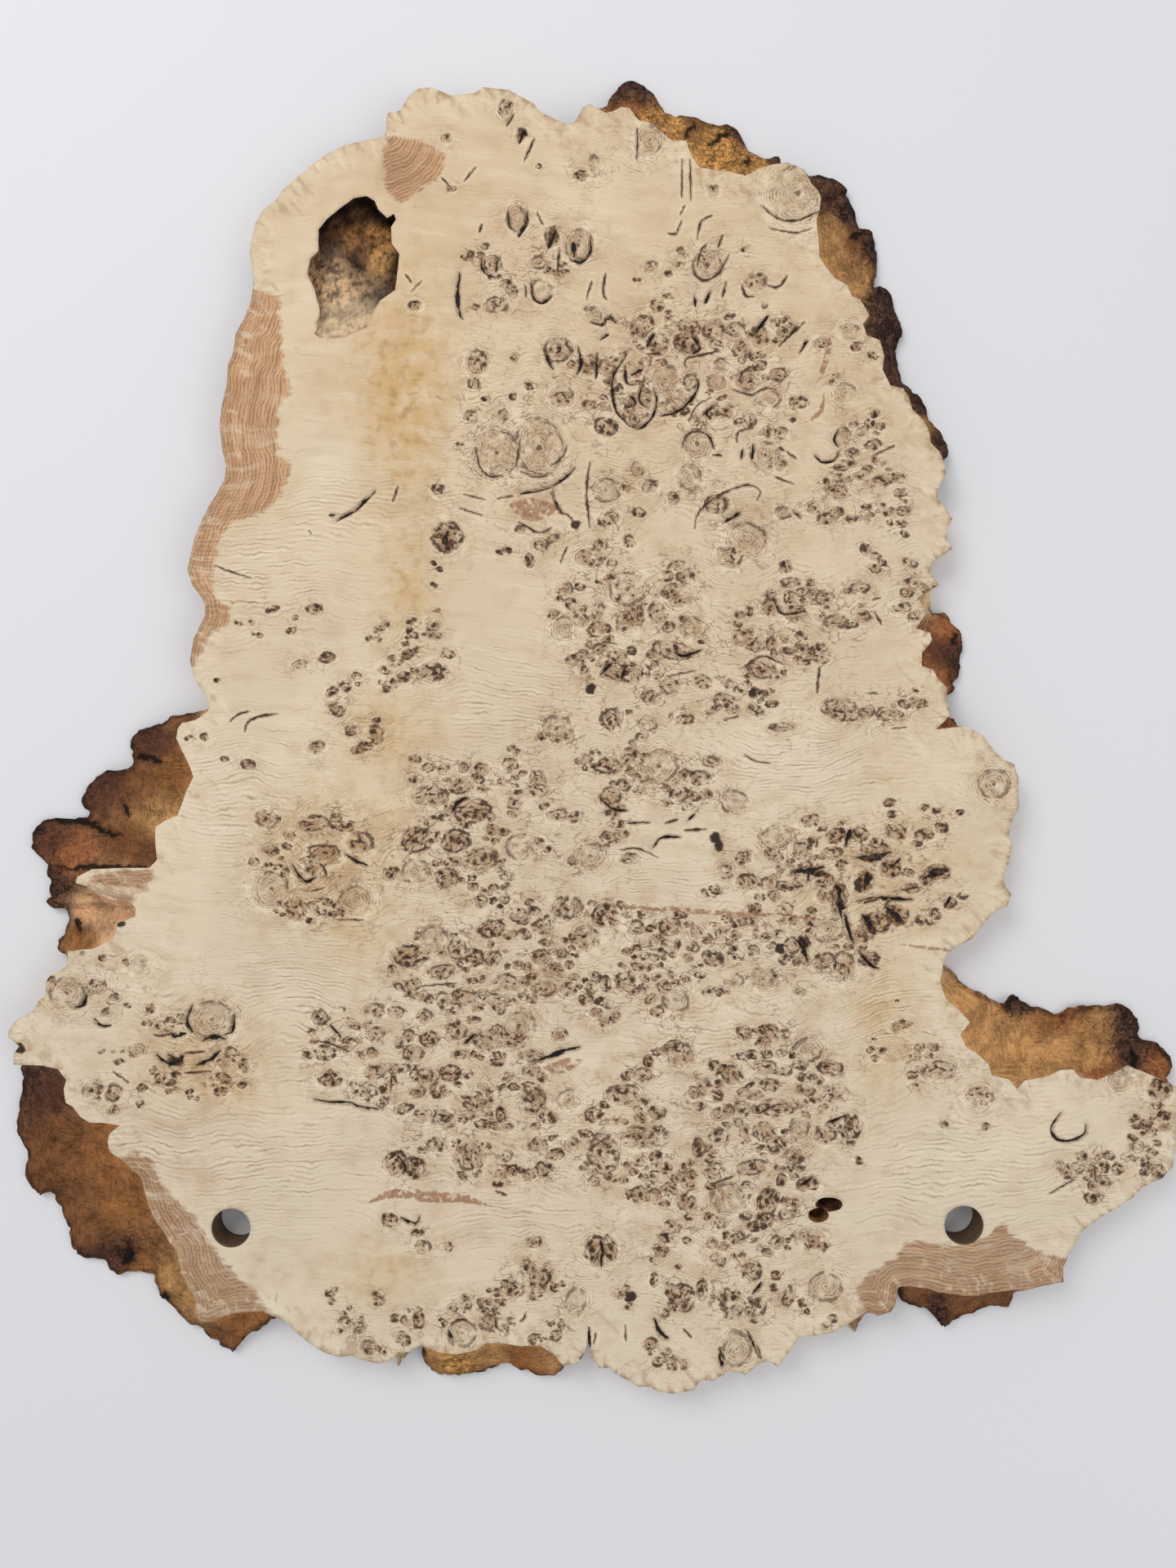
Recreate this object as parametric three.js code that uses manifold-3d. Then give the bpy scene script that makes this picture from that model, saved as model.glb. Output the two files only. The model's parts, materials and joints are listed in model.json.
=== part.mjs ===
// A live-edge slab sawn from an oak burl, laid flat on its sawn back with the figured face up.
// One grown piece of wood: the sawn face, the bark left on parts of its edge, two drilled bores,
// an open natural void and the sunk eyes of the burl are all one solid.
// Millimetres, +X to the right of the face, +Y to its top, +Z out of the face.

import * as THREE from "three";
import { mergeVertices } from "three/addons/utils/BufferGeometryUtils.js";
import Module from "manifold-3d";

// Size. The bores are 48 pixels wide in the photograph and are taken as 21.6 mm.
const MM_PER_PIXEL = 0.45;
const THICKNESS = 18;
const VIEW_CENTRE = { x: 720, y: 960 };
const VIEW_HEIGHT = 630; // eye to sawn face: a point that lies lower is further out than it looks

// Edge, from the sawn face down to the back: how far out and how high each level is.
const BARK_LEVELS = [
  { out: 0, height: 1 },
  { out: 0.2, height: 0.86 },
  { out: 0.52, height: 0.6 },
  { out: 0.84, height: 0.36 },
  { out: 1, height: 0.18 },
  { out: 0.975, height: 0 },
];
const BARE_OUT_MM = [0, 0.25, 0.3, 0.05, -0.5, -1.1];
const KNOB_HEIGHT = 2.1; // lumps of the bark, up and down
const KNOB_PITCH = 17; // from lump to lump
const RAGGED = 0.35; // the saw left the rim of the face this uneven

// Bores
const BORE_DIAMETER = 21.6;
const BORE_CENTRES = [
  [282.8, 1503.7],
  [1180.4, 1500.4],
];

// Natural void, upper left: a pocket with a ramp that rises to the face at its lower end
const VOID_OUTLINE = [
  [390, 281], [400, 269], [415, 256], [433, 243], [449, 240], [459, 246], [463, 256], [474, 267],
  [482, 262], [485, 269], [479, 278], [480, 299], [489, 311], [487, 330], [484, 355], [466, 368],
  [459, 378], [449, 401], [423, 412], [392, 414], [385, 409], [392, 381], [385, 355], [376, 335],
  [380, 317], [390, 307], [390, 292],
];
const VOID_DEPTH = 12;
const RAMP_TOP = 338; // the floor of the void starts to rise here
const RAMP_FOOT = 414; // and meets the face here
const RAMP_LIP = 0.4;

// Knot-hole, lower right: two lobes, each [x, y, half width, half height]
const KNOT_LOBES = [
  [1015, 1475, 17, 9],
  [1002, 1488, 13, 9],
];
const KNOT_DEPTH = 11;

// Edge stations, in pixels of the photograph, clockwise from the notch on the left.
// [x, y] is a bare sawn edge. [x, y, rim x, rim y] is the foot of the bark and the rim of the face.
const LEFT_SIDE = [
  [257, 865], [249, 848], [241, 836], [235, 822], [233, 808], [237, 784], [243, 771], [252, 754],
  [250, 737], [236, 717], [230, 699], [232, 683], [238, 662], [247, 640], [255, 620], [268, 602],
  [276, 587], [277, 572], [272, 547], [269, 520], [272, 498], [277, 470], [279, 447], [285, 432],
  [289, 409], [299, 389], [308, 368], [311, 348], [309, 325], [306, 310], [308, 289], [313, 274],
  [321, 259], [336, 246], [347, 233], [364, 218], [382, 201], [398, 191], [423, 178], [459, 170],
];
const TOP = [
  [474, 164], [473, 146], [476, 138], [489, 136], [500, 118], [511, 108], [530, 107], [551, 116],
  [581, 114], [591, 107], [625, 111], [637, 119], [653, 126], [660, 137], [680, 147], [694, 151],
  [704, 150], [713, 132], [722, 127],
];
const TOP_CRUST = [
  [740, 130, 742, 139], [748, 118, 751, 137], [758, 104, 760, 131], [773, 98, 771, 132],
  [796, 108, 783, 147], [808, 127, 800, 152], [822, 141, 813, 163], [839, 141, 822, 173],
  [857, 145, 840, 171], [870, 154, 846, 190], [895, 151, 858, 205], [908, 162, 880, 209],
  [918, 180, 897, 211], [931, 186, 912, 216], [941, 195, 927, 208], [954, 192, 944, 201],
  [963, 199], [984, 207],
];
const RIGHT_SHOULDER_BARK = [
  [997, 216, 994, 224], [1025, 219, 1001, 233], [1035, 228, 1005, 243], [1038, 244, 1004, 256],
  [1046, 260, 999, 268], [1054, 279, 1000, 282], [1064, 281, 1003, 300], [1073, 295, 1003, 315],
  [1076, 323, 1012, 328], [1073, 339, 1022, 341], [1070, 351, 1038, 349], [1083, 350, 1043, 362],
  [1094, 367, 1054, 366], [1100, 384, 1064, 386], [1108, 400, 1057, 398], [1100, 415, 1061, 411],
  [1094, 430, 1078, 416], [1101, 443, 1082, 436], [1104, 466, 1080, 452], [1105, 472, 1091, 472],
  [1113, 472, 1106, 475], [1122, 484, 1113, 485], [1135, 502, 1118, 502], [1141, 520, 1132, 515],
  [1153, 534, 1138, 527], [1163, 546, 1140, 542], [1163, 556, 1151, 553],
];
const RIGHT_SIDE = [
  [1156, 566], [1159, 581], [1150, 595], [1145, 609], [1159, 624], [1167, 637], [1160, 648],
  [1160, 662], [1166, 671], [1149, 682], [1139, 691], [1139, 701], [1150, 716],
];
const RIGHT_CHUNK = [
  [1138, 728, 1128, 728], [1141, 740, 1125, 736], [1140, 751, 1136, 749], [1161, 753, 1122, 770],
  [1168, 762, 1138, 775], [1179, 771, 1142, 785], [1182, 785, 1130, 800], [1179, 803, 1128, 816],
  [1177, 823, 1143, 820], [1165, 837, 1150, 832], [1170, 844, 1160, 843],
];
const RIGHT_LOBE = [
  [1159, 858], [1165, 873], [1172, 880, 1147, 893], [1182, 889], [1203, 901], [1218, 921],
  [1230, 931], [1242, 935], [1248, 952], [1246, 970], [1248, 990], [1240, 1003], [1235, 1021],
  [1239, 1036], [1234, 1059], [1228, 1070], [1230, 1085], [1238, 1096], [1234, 1108],
  [1216, 1118], [1203, 1133], [1190, 1149], [1170, 1160], [1160, 1169], [1154, 1182],
];
const RIGHT_NOTCH_BARK = [
  [1163, 1186, 1152, 1203], [1175, 1200, 1158, 1222], [1193, 1213, 1173, 1235],
  [1213, 1222, 1187, 1252], [1233, 1231, 1176, 1268], [1240, 1219, 1182, 1282],
  [1245, 1217, 1198, 1290], [1262, 1233, 1210, 1303], [1280, 1235, 1214, 1316],
  [1300, 1244, 1236, 1322], [1320, 1233, 1246, 1333], [1346, 1230, 1254, 1323],
  [1358, 1231, 1282, 1319], [1370, 1229, 1299, 1310], [1389, 1239, 1314, 1309],
  [1398, 1252, 1323, 1320], [1395, 1272, 1345, 1322], [1417, 1276, 1362, 1313],
  [1433, 1294, 1381, 1305], [1438, 1306, 1410, 1316],
];
const RIGHT_TIP = [
  [1439, 1330], [1440, 1370], [1439, 1405], [1436, 1430], [1423, 1443], [1400, 1453], [1387, 1466],
  [1346, 1492], [1323, 1510], [1317, 1524], [1309, 1537], [1301, 1552], [1302, 1571], [1276, 1575],
  [1253, 1580],
];
const BOTTOM_RIGHT_CRUST = [
  [1241, 1591, 1240, 1580], [1238, 1602, 1215, 1583], [1215, 1601, 1197, 1586],
  [1197, 1603, 1179, 1587], [1179, 1613, 1163, 1585], [1156, 1629, 1149, 1582],
  [1149, 1619, 1138, 1579], [1138, 1607, 1125, 1577], [1118, 1597, 1114, 1576],
  [1105, 1595, 1104, 1575],
];
const BOTTOM = [
  [1100, 1576], [1097, 1598], [1090, 1607], [1074, 1612], [1062, 1606], [1047, 1635, 1052, 1612],
  [1037, 1621], [1021, 1631], [1001, 1636], [979, 1636], [973, 1647], [965, 1658], [953, 1674],
  [944, 1667], [931, 1669], [914, 1683], [893, 1678], [886, 1684], [874, 1690], [858, 1689],
  [850, 1702], [824, 1707], [804, 1704], [796, 1698], [782, 1698], [768, 1689], [753, 1681],
  [748, 1675], [733, 1676], [724, 1664], [721, 1641], [714, 1659], [707, 1670], [694, 1671],
];
const BOTTOM_CRUST = [
  [687, 1680, 688, 1671], [676, 1686, 677, 1657], [661, 1683, 661, 1647], [646, 1678, 638, 1648],
  [622, 1673, 612, 1644], [598, 1677, 596, 1644], [571, 1684, 582, 1654], [541, 1684, 559, 1659],
  [528, 1679, 538, 1656], [519, 1668, 524, 1650], [513, 1648], [503, 1656], [488, 1675, 488, 1656],
  [477, 1667], [462, 1669], [444, 1666], [431, 1659], [416, 1662], [398, 1657], [383, 1648],
  [363, 1633], [352, 1620], [344, 1616],
];
const BOTTOM_LEFT_FLANK = [
  [330, 1618, 330, 1611], [318, 1626, 321, 1605], [306, 1633, 299, 1607], [297, 1644, 286, 1609],
  [285, 1658, 273, 1612], [272, 1650, 260, 1619], [265, 1640, 250, 1619], [252, 1633, 242, 1618],
  [244, 1624, 240, 1605], [230, 1625, 239, 1588], [218, 1608, 231, 1576], [202, 1597, 220, 1560],
  [193, 1591, 217, 1533], [192, 1568, 207, 1522], [188, 1561, 201, 1508], [168, 1561, 190, 1496],
  [157, 1559, 182, 1476], [143, 1564, 177, 1458], [134, 1558, 173, 1442], [125, 1544, 163, 1433],
  [97, 1541, 153, 1424], [86, 1533, 142, 1416], [84, 1515, 135, 1410], [76, 1492, 131, 1399],
  [71, 1474, 135, 1388], [61, 1462, 147, 1378], [46, 1467, 128, 1376], [38, 1457, 110, 1374],
  [32, 1439, 99, 1367], [30, 1421, 90, 1356], [28, 1406, 80, 1350], [18, 1392, 77, 1334],
  [19, 1376, 81, 1322], [24, 1350, 71, 1310], [28, 1319, 53, 1305], [25, 1308, 36, 1305],
];
const LEFT_LOBE = [
  [16, 1303], [16, 1290], [23, 1281], [11, 1270], [10, 1262], [18, 1250], [30, 1245], [41, 1238],
  [48, 1225], [57, 1219], [56, 1202], [62, 1194], [76, 1187, 80, 1189], [82, 1178],
  [76, 1166, 83, 1164],
];
const LEFT_BARK = [
  [69, 1160, 115, 1161], [71, 1152, 138, 1150], [79, 1140, 144, 1131], [80, 1124, 165, 1122],
  [79, 1113, 167, 1113], [65, 1113, 162, 1106], [56, 1105, 143, 1104], [61, 1094, 125, 1097],
  [61, 1080, 105, 1086], [57, 1069, 92, 1082], [58, 1059, 95, 1073], [42, 1048, 112, 1064],
  [36, 1038, 153, 1062], [37, 1020, 184, 1063], [46, 1007, 192, 1052], [61, 1001, 190, 1029],
  [87, 1003, 191, 1013], [107, 1000, 204, 1003], [106, 993, 217, 998], [98, 983, 224, 983],
  [99, 970, 228, 967], [110, 954, 236, 951], [125, 943, 231, 934], [150, 945, 222, 919],
  [163, 934, 216, 905], [158, 907, 217, 893], [166, 896, 224, 885], [199, 886, 240, 881],
  [206, 878, 249, 876], [234, 873, 254, 871],
];
const EDGE = [
  LEFT_SIDE, TOP, TOP_CRUST, RIGHT_SHOULDER_BARK, RIGHT_SIDE, RIGHT_CHUNK, RIGHT_LOBE,
  RIGHT_NOTCH_BARK, RIGHT_TIP, BOTTOM_RIGHT_CRUST, BOTTOM, BOTTOM_CRUST, BOTTOM_LEFT_FLANK,
  LEFT_LOBE, LEFT_BARK,
].flat();

// Eyes of the burl that stand alone: [x, y, radius], in pixels
const EYES = [
  [609, 555, 27], [664, 548, 30], [778, 478, 28], [831, 478, 27], [973, 233, 30], [663, 354, 13],
  [711, 300, 15], [730, 386, 9], [634, 273, 12], [603, 323, 10], [866, 325, 22], [923, 344, 12],
  [921, 512, 12], [937, 555, 20], [854, 539, 12], [1013, 555, 12], [1030, 484, 12], [682, 892, 18],
  [680, 769, 12], [826, 1227, 18], [533, 1150, 17], [588, 1053, 20], [325, 1089, 20],
  [436, 1099, 20], [84, 1215, 18], [257, 1249, 26], [1217, 960, 20], [991, 1285, 16],
  [980, 1381, 12], [937, 1389, 12], [890, 1468, 22], [697, 1345, 12], [707, 1594, 12],
  [564, 1628, 16], [548, 660, 18], [530, 822, 18], [386, 746, 12], [400, 805, 12], [536, 600, 12],
  [757, 816, 26], [964, 746, 14], [895, 679, 14], [750, 885, 12], [579, 992, 24], [529, 976, 12],
  [511, 1030, 12], [554, 1031, 12], [602, 1017, 11], [386, 1008, 12], [384, 1067, 12],
  [429, 1060, 12], [599, 1137, 12], [499, 1171, 12], [579, 1171, 12], [715, 1148, 20],
  [763, 1343, 25], [494, 1425, 24], [574, 1420, 16], [594, 1357, 12], [736, 1532, 24],
  [940, 1475, 14], [788, 1462, 14], [1034, 1374, 12], [998, 1069, 12], [1029, 1096, 12],
  [1056, 1050, 12], [1054, 1075, 12], [1146, 1069, 14], [1098, 1019, 12], [1090, 1115, 12],
  [878, 1031, 12], [723, 844, 9], [922, 845, 9], [771, 1589, 9],
];
const EYE_DEPTH_PER_RADIUS = 0.3;
const EYE_SIDES = 7;

// Crowds of small eyes: [x, y, half width, half height, how many]
const CROWDS = [
  [660, 325, 90, 65, 7], [850, 490, 140, 95, 14], [1075, 690, 70, 190, 14], [770, 755, 85, 65, 7],
  [800, 965, 60, 60, 6], [385, 1055, 80, 60, 6], [600, 1025, 95, 60, 7], [670, 1190, 180, 75, 14],
  [1045, 1095, 100, 80, 10], [590, 1355, 105, 80, 9], [885, 1405, 160, 140, 16],
  [245, 1285, 60, 50, 5], [415, 1290, 42, 55, 5], [700, 1635, 260, 45, 12], [1355, 1405, 65, 65, 8],
  [1115, 1310, 50, 30, 4],
];
const SMALL_EYE = { radius: 2.6, depth: 1.6, sides: 5, apart: 8 };
const SEED = 41;

// Cracks that opened as the wood dried: [from x, from y, to x, to y, width in mm]
const CRACKS = [
  [564, 336, 562, 392, 1.4], [682, 272, 668, 306, 1.2], [656, 162, 640, 204, 1.2],
  [836, 441, 896, 429, 1.4], [586, 596, 680, 600, 1.6], [672, 602, 722, 564, 1.6],
  [674, 600, 706, 648, 1.4], [720, 576, 720, 650, 1.4], [866, 656, 908, 628, 1.8],
  [412, 633, 468, 597, 1.4], [258, 690, 315, 711, 1.2], [650, 1302, 723, 1278, 2.6],
  [385, 1348, 458, 1357, 1.6], [764, 1008, 866, 991, 1.6], [340, 873, 300, 886, 1.4],
  [300, 884, 298, 918, 1.4], [736, 1510, 736, 1556, 1.8],
];
const CRACK_DEPTH = 3.5;
const SINK = 0.05; // cutters start this far over the face

const wasm = await Module();
wasm.setup();

// A pixel of the photograph as a point of the slab, at a depth under the sawn face
function atPixel(x, y, depth = 0) {
  const spread = MM_PER_PIXEL * (1 + depth / VIEW_HEIGHT);
  return new THREE.Vector2((x - VIEW_CENTRE.x) * spread, (VIEW_CENTRE.y - y) * spread);
}

function seededRandom(seed) {
  let state = seed;
  return () => {
    state = (state * 1664525 + 1013904223) % 4294967296;
    return state / 4294967296;
  };
}

// Lumps of the bark, from -1 to 1, smooth in both directions
function knob(x, y) {
  const u = (2 * Math.PI * x) / KNOB_PITCH;
  const v = (2 * Math.PI * y) / KNOB_PITCH;
  const broad = Math.sin(0.61 * u + 0.8 * Math.sin(0.37 * v)) * Math.cos(0.53 * v - 0.4 * u);
  const fine = Math.sin(1.3 * u - 0.7 * v) * Math.sin(0.9 * v + 1.1 * u);
  return 0.65 * broad + 0.35 * fine;
}

function toSolid(geometry) {
  const bare = geometry.clone();
  bare.deleteAttribute("normal");
  bare.deleteAttribute("uv");
  const merged = mergeVertices(bare, 1e-4);
  const mesh = new wasm.Mesh({
    numProp: 3,
    vertProperties: new Float32Array(merged.attributes.position.array),
    triVerts: new Uint32Array(merged.index.array),
  });
  return new wasm.Manifold(mesh);
}

function toGeometry(solid) {
  const mesh = solid.getMesh();
  const geometry = new THREE.BufferGeometry();
  geometry.setAttribute("position", new THREE.BufferAttribute(new Float32Array(mesh.vertProperties), 3));
  geometry.setIndex(new THREE.BufferAttribute(new Uint32Array(mesh.triVerts), 1));
  return geometry;
}

// The slab before anything is cut into it: rings of the edge from the face to the back, and two caps
function slabGeometry() {
  const footDepth = THICKNESS * (1 - BARK_LEVELS[4].height);
  const rims = EDGE.map(([x, y, rimX = x, rimY = y], i) => {
    const rim = atPixel(rimX, rimY);
    return rim.add(new THREE.Vector2(Math.sin(i * i), Math.cos(i * i)).multiplyScalar(RAGGED));
  });
  const count = rims.length;
  const outward = rims.map((rim, i) => {
    const along = rims[(i + 1) % count].clone().sub(rims[(i + count - 1) % count]).normalize();
    return new THREE.Vector2(-along.y, along.x);
  });
  const rings = BARK_LEVELS.map((level, row) => EDGE.map((station, i) => {
    const z = THICKNESS * level.height;
    if (station.length === 2) {
      const bare = rims[i].clone().addScaledVector(outward[i], BARE_OUT_MM[row]);
      return new THREE.Vector3(bare.x, bare.y, z);
    }
    const foot = atPixel(station[0], station[1], footDepth);
    const point = rims[i].clone().lerp(foot, level.out);
    const width = rims[i].distanceTo(foot);
    const sloping = row > 0 && row < 4 ? Math.min(1, width / 12) : 0;
    return new THREE.Vector3(point.x, point.y, z + sloping * KNOB_HEIGHT * knob(point.x, point.y));
  }));

  const faces = [];
  for (let row = 0; row + 1 < rings.length; row += 1) {
    for (let i = 0; i < count; i += 1) {
      const next = (i + 1) % count;
      const upper = row * count;
      const lower = upper + count;
      faces.push(upper + i, upper + next, lower + next);
      faces.push(upper + i, lower + next, lower + i);
    }
  }
  const faceOutline = rings[0].map((point) => new THREE.Vector2(point.x, point.y));
  const backOutline = rings.at(-1).map((point) => new THREE.Vector2(point.x, point.y));
  const back = (rings.length - 1) * count;
  for (const [a, b, c] of upward(faceOutline)) {
    faces.push(a, b, c);
  }
  for (const [a, b, c] of upward(backOutline)) {
    faces.push(back + a, back + c, back + b);
  }
  const geometry = new THREE.BufferGeometry().setFromPoints(rings.flat());
  geometry.setIndex(faces);
  return geometry;
}

// Triangles over a closed outline, each turned to face up
function upward(outline) {
  return THREE.ShapeUtils.triangulateShape(outline, []).map(([a, b, c]) => {
    const area = THREE.ShapeUtils.area([outline[a], outline[b], outline[c]]);
    return area > 0 ? [a, b, c] : [a, c, b];
  });
}

function boreSolid([x, y]) {
  const centre = atPixel(x, y);
  const bore = new THREE.CylinderGeometry(BORE_DIAMETER / 2, BORE_DIAMETER / 2, THICKNESS * 2, 28);
  bore.rotateX(Math.PI / 2);
  bore.translate(centre.x, centre.y, THICKNESS / 2);
  return toSolid(bore);
}

// The void is a prism under its outline; its floor lies deep at the top and ramps up at the foot
function voidSolid() {
  const outline = VOID_OUTLINE.map(([x, y]) => atPixel(x, y));
  const shape = new THREE.Shape(outline);
  const prism = new THREE.ExtrudeGeometry(shape, { depth: VOID_DEPTH, bevelEnabled: false });
  const rampTop = atPixel(0, RAMP_TOP).y;
  const rampFoot = atPixel(0, RAMP_FOOT).y;
  const place = prism.attributes.position;
  for (let i = 0; i < place.count; i += 1) {
    const rise = THREE.MathUtils.clamp((rampTop - place.getY(i)) / (rampTop - rampFoot), 0, 1);
    const floor = THICKNESS - VOID_DEPTH + rise * (VOID_DEPTH - RAMP_LIP);
    place.setZ(i, place.getZ(i) > VOID_DEPTH / 2 ? THICKNESS + 1 : floor);
  }
  return toSolid(prism);
}

function knotSolid([x, y, halfWidth, halfHeight]) {
  const centre = atPixel(x, y);
  const lobe = new THREE.CylinderGeometry(1, 0.6, KNOT_DEPTH, 14);
  lobe.rotateX(Math.PI / 2);
  lobe.scale(halfWidth * MM_PER_PIXEL, halfHeight * MM_PER_PIXEL, 1);
  lobe.translate(centre.x, centre.y, THICKNESS + SINK - KNOT_DEPTH / 2);
  return toSolid(lobe);
}

// An eye is a shallow pit, deepest in the middle
function pitSolid(centre, radius, depth, sides, turn) {
  const pit = new THREE.ConeGeometry(radius, depth + SINK, sides);
  pit.rotateX(-Math.PI / 2);
  pit.rotateZ(turn);
  pit.translate(centre.x, centre.y, THICKNESS + SINK - (depth + SINK) / 2);
  return toSolid(pit);
}

function eyeSolids() {
  return EYES.map(([x, y, radius], i) => {
    const mm = radius * MM_PER_PIXEL * 0.75;
    return pitSolid(atPixel(x, y), mm, mm * EYE_DEPTH_PER_RADIUS, EYE_SIDES, i);
  });
}

// Small eyes are scattered over each crowd, kept apart from one another and from the larger eyes
function smallEyeSolids() {
  const random = seededRandom(SEED);
  const taken = EYES.map(([x, y, radius]) => ({ centre: atPixel(x, y), room: radius * MM_PER_PIXEL }));
  const solids = [];
  for (const [x, y, halfWidth, halfHeight, wanted] of CROWDS) {
    let placed = 0;
    for (let tries = 0; tries < 40 * wanted && placed < wanted; tries += 1) {
      const reach = Math.sqrt(random());
      const turn = 2 * Math.PI * random();
      const across = halfWidth * reach * Math.cos(turn);
      const centre = atPixel(x + across, y + halfHeight * reach * Math.sin(turn));
      const free = taken.every((other) => centre.distanceTo(other.centre) > other.room + SMALL_EYE.apart / 2);
      if (free) {
        const size = 0.8 + 0.5 * random();
        solids.push(pitSolid(centre, SMALL_EYE.radius * size, SMALL_EYE.depth * size, SMALL_EYE.sides, turn));
        taken.push({ centre, room: SMALL_EYE.apart / 2 });
        placed += 1;
      }
    }
  }
  return solids;
}

// A crack is a spindle sunk in the face, widest and deepest in the middle
function crackSolid([fromX, fromY, toX, toY, width]) {
  const from = atPixel(fromX, fromY);
  const to = atPixel(toX, toY);
  const along = to.clone().sub(from);
  const spindle = new THREE.OctahedronGeometry(1);
  spindle.scale(along.length() / 2, width / 2, CRACK_DEPTH);
  spindle.rotateZ(along.angle());
  spindle.translate((from.x + to.x) / 2, (from.y + to.y) / 2, THICKNESS);
  return toSolid(spindle);
}

const cuts = [
  ...BORE_CENTRES.map(boreSolid),
  voidSolid(),
  ...KNOT_LOBES.map(knotSolid),
  ...eyeSolids(),
  ...smallEyeSolids(),
  ...CRACKS.map(crackSolid),
];
const burl = toGeometry(toSolid(slabGeometry()).subtract(wasm.Manifold.union(cuts)));

// The origin is under the middle of the slab, on its back
burl.computeBoundingBox();
const middle = burl.boundingBox.getCenter(new THREE.Vector3());
burl.translate(-middle.x, -middle.y, -burl.boundingBox.min.z);
burl.computeVertexNormals();

const wood = new THREE.MeshStandardMaterial({ color: 0xd6c4a2, roughness: 0.8, metalness: 0 });
const slab = new THREE.Mesh(burl, wood);
slab.name = "burl_slab";

const part = new THREE.Group();
part.name = "oak_burl";
part.add(slab);
export default part;
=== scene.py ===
# %% [markdown]
# # A live-edge slab of oak burl
# A burl is a swelling on a trunk where hundreds of buds grew over one another. Sawn flat, each bud
# shows as an eye, and the wood between them as wavy grain. The slab lies on its sawn back. The packed
# model gives its outline, thickness, bores and natural void, so this file starts from that frame.

# %% The frame
import json
import math
import random

import bmesh
import bpy
import numpy as np
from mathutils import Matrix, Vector, kdtree, noise
from mathutils.geometry import delaunay_2d_cdt


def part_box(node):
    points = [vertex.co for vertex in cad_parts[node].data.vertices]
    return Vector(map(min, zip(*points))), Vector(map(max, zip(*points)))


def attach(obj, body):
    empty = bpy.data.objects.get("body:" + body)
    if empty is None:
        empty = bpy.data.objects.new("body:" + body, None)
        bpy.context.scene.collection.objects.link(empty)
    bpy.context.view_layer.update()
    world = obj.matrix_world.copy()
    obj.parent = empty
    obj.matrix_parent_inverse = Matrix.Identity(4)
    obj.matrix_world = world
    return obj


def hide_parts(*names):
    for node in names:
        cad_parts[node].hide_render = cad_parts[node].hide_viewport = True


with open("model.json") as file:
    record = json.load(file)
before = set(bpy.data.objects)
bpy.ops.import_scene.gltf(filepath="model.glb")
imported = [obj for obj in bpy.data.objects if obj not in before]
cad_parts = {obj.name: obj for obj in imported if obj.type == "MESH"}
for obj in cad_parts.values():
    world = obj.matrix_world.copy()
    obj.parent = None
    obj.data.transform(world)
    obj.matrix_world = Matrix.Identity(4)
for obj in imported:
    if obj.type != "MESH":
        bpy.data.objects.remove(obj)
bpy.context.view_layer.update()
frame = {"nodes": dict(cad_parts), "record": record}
slab_low, slab_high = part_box("burl_slab")
THICKNESS = slab_high.z - slab_low.z
MM = 0.001
print("frame", [round(v, 4) for v in slab_low], [round(v, 4) for v in slab_high])

# %% [markdown]
# ## From a pixel to a place on the slab
# Every eye and crack below is written as the pixel where the photograph shows it. The two bores are
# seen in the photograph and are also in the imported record, so they give the scale and the offset
# between the two. Points under the sawn face lie further out than they look, by the height of the eye.

# %% The photograph's pixels
BORE_PIXELS = {"left_bore": (282.8, 1503.7), "right_bore": (1180.4, 1500.4)}
FRAME_PIXELS = (1440, 1920)
VIEW_PIXEL = (720, 960)
VIEW_HEIGHT = 0.63
openings = {opening["name"]: opening["box_m"] for opening in frame["record"]["physics"]["openings"]}


def bore_centre(name):
    low, high = openings[name]
    return Vector(((low[0] + high[0]) / 2, (low[1] + high[1]) / 2))


bores = {name: bore_centre(name) for name in BORE_PIXELS}
pixel_gap = (Vector(BORE_PIXELS["right_bore"]) - Vector(BORE_PIXELS["left_bore"])).length
PIXEL = (bores["right_bore"] - bores["left_bore"]).length / pixel_gap


def spot(x, y):
    """The place on the sawn face that the photograph shows at this pixel."""
    left_x, left_y = BORE_PIXELS["left_bore"]
    return Vector((bores["left_bore"].x + (x - left_x) * PIXEL, bores["left_bore"].y + (left_y - y) * PIXEL))


print("one pixel is", round(PIXEL / MM, 4), "mm")

# %% [markdown]
# ## Camera
# The photograph looks straight at the face, so the camera hangs straight over the slab. The lens could
# be guessed by eye. Here it follows from the height of the camera and from the width of wood that one
# frame takes in, so every pixel named below lands where it should.

# %% Camera
camera_data = bpy.data.cameras.new("camera")
camera_data.sensor_width = 36
camera_data.lens = camera_data.sensor_width * VIEW_HEIGHT / (FRAME_PIXELS[1] * PIXEL)
camera = bpy.data.objects.new("camera", camera_data)
view_centre = spot(*VIEW_PIXEL)
camera.location = (view_centre.x, view_centre.y, THICKNESS + VIEW_HEIGHT)
bpy.context.scene.collection.objects.link(camera)
bpy.context.scene.camera = camera
print("lens", round(camera_data.lens, 2), "mm")

# %% [markdown]
# ## Soft light
# The photograph was lit evenly, with hardly a shadow. A pale world gives most of the light here, and
# two wide lamps add a little direction, so that the bark and the cracks show their relief. One small
# lamp would throw hard shadows that the photograph doesn't have.

# %% Soft light


def soft_light(name, place, aim, size, power):
    light = bpy.data.lights.new(name, "AREA")
    light.shape = "DISK"
    light.size = size
    light.energy = power
    lamp = bpy.data.objects.new(name, light)
    lamp.location = place
    lamp.rotation_mode = "QUATERNION"
    lamp.rotation_quaternion = (Vector(aim) - Vector(place)).to_track_quat("-Z", "Y")
    bpy.context.scene.collection.objects.link(lamp)
    return lamp


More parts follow.
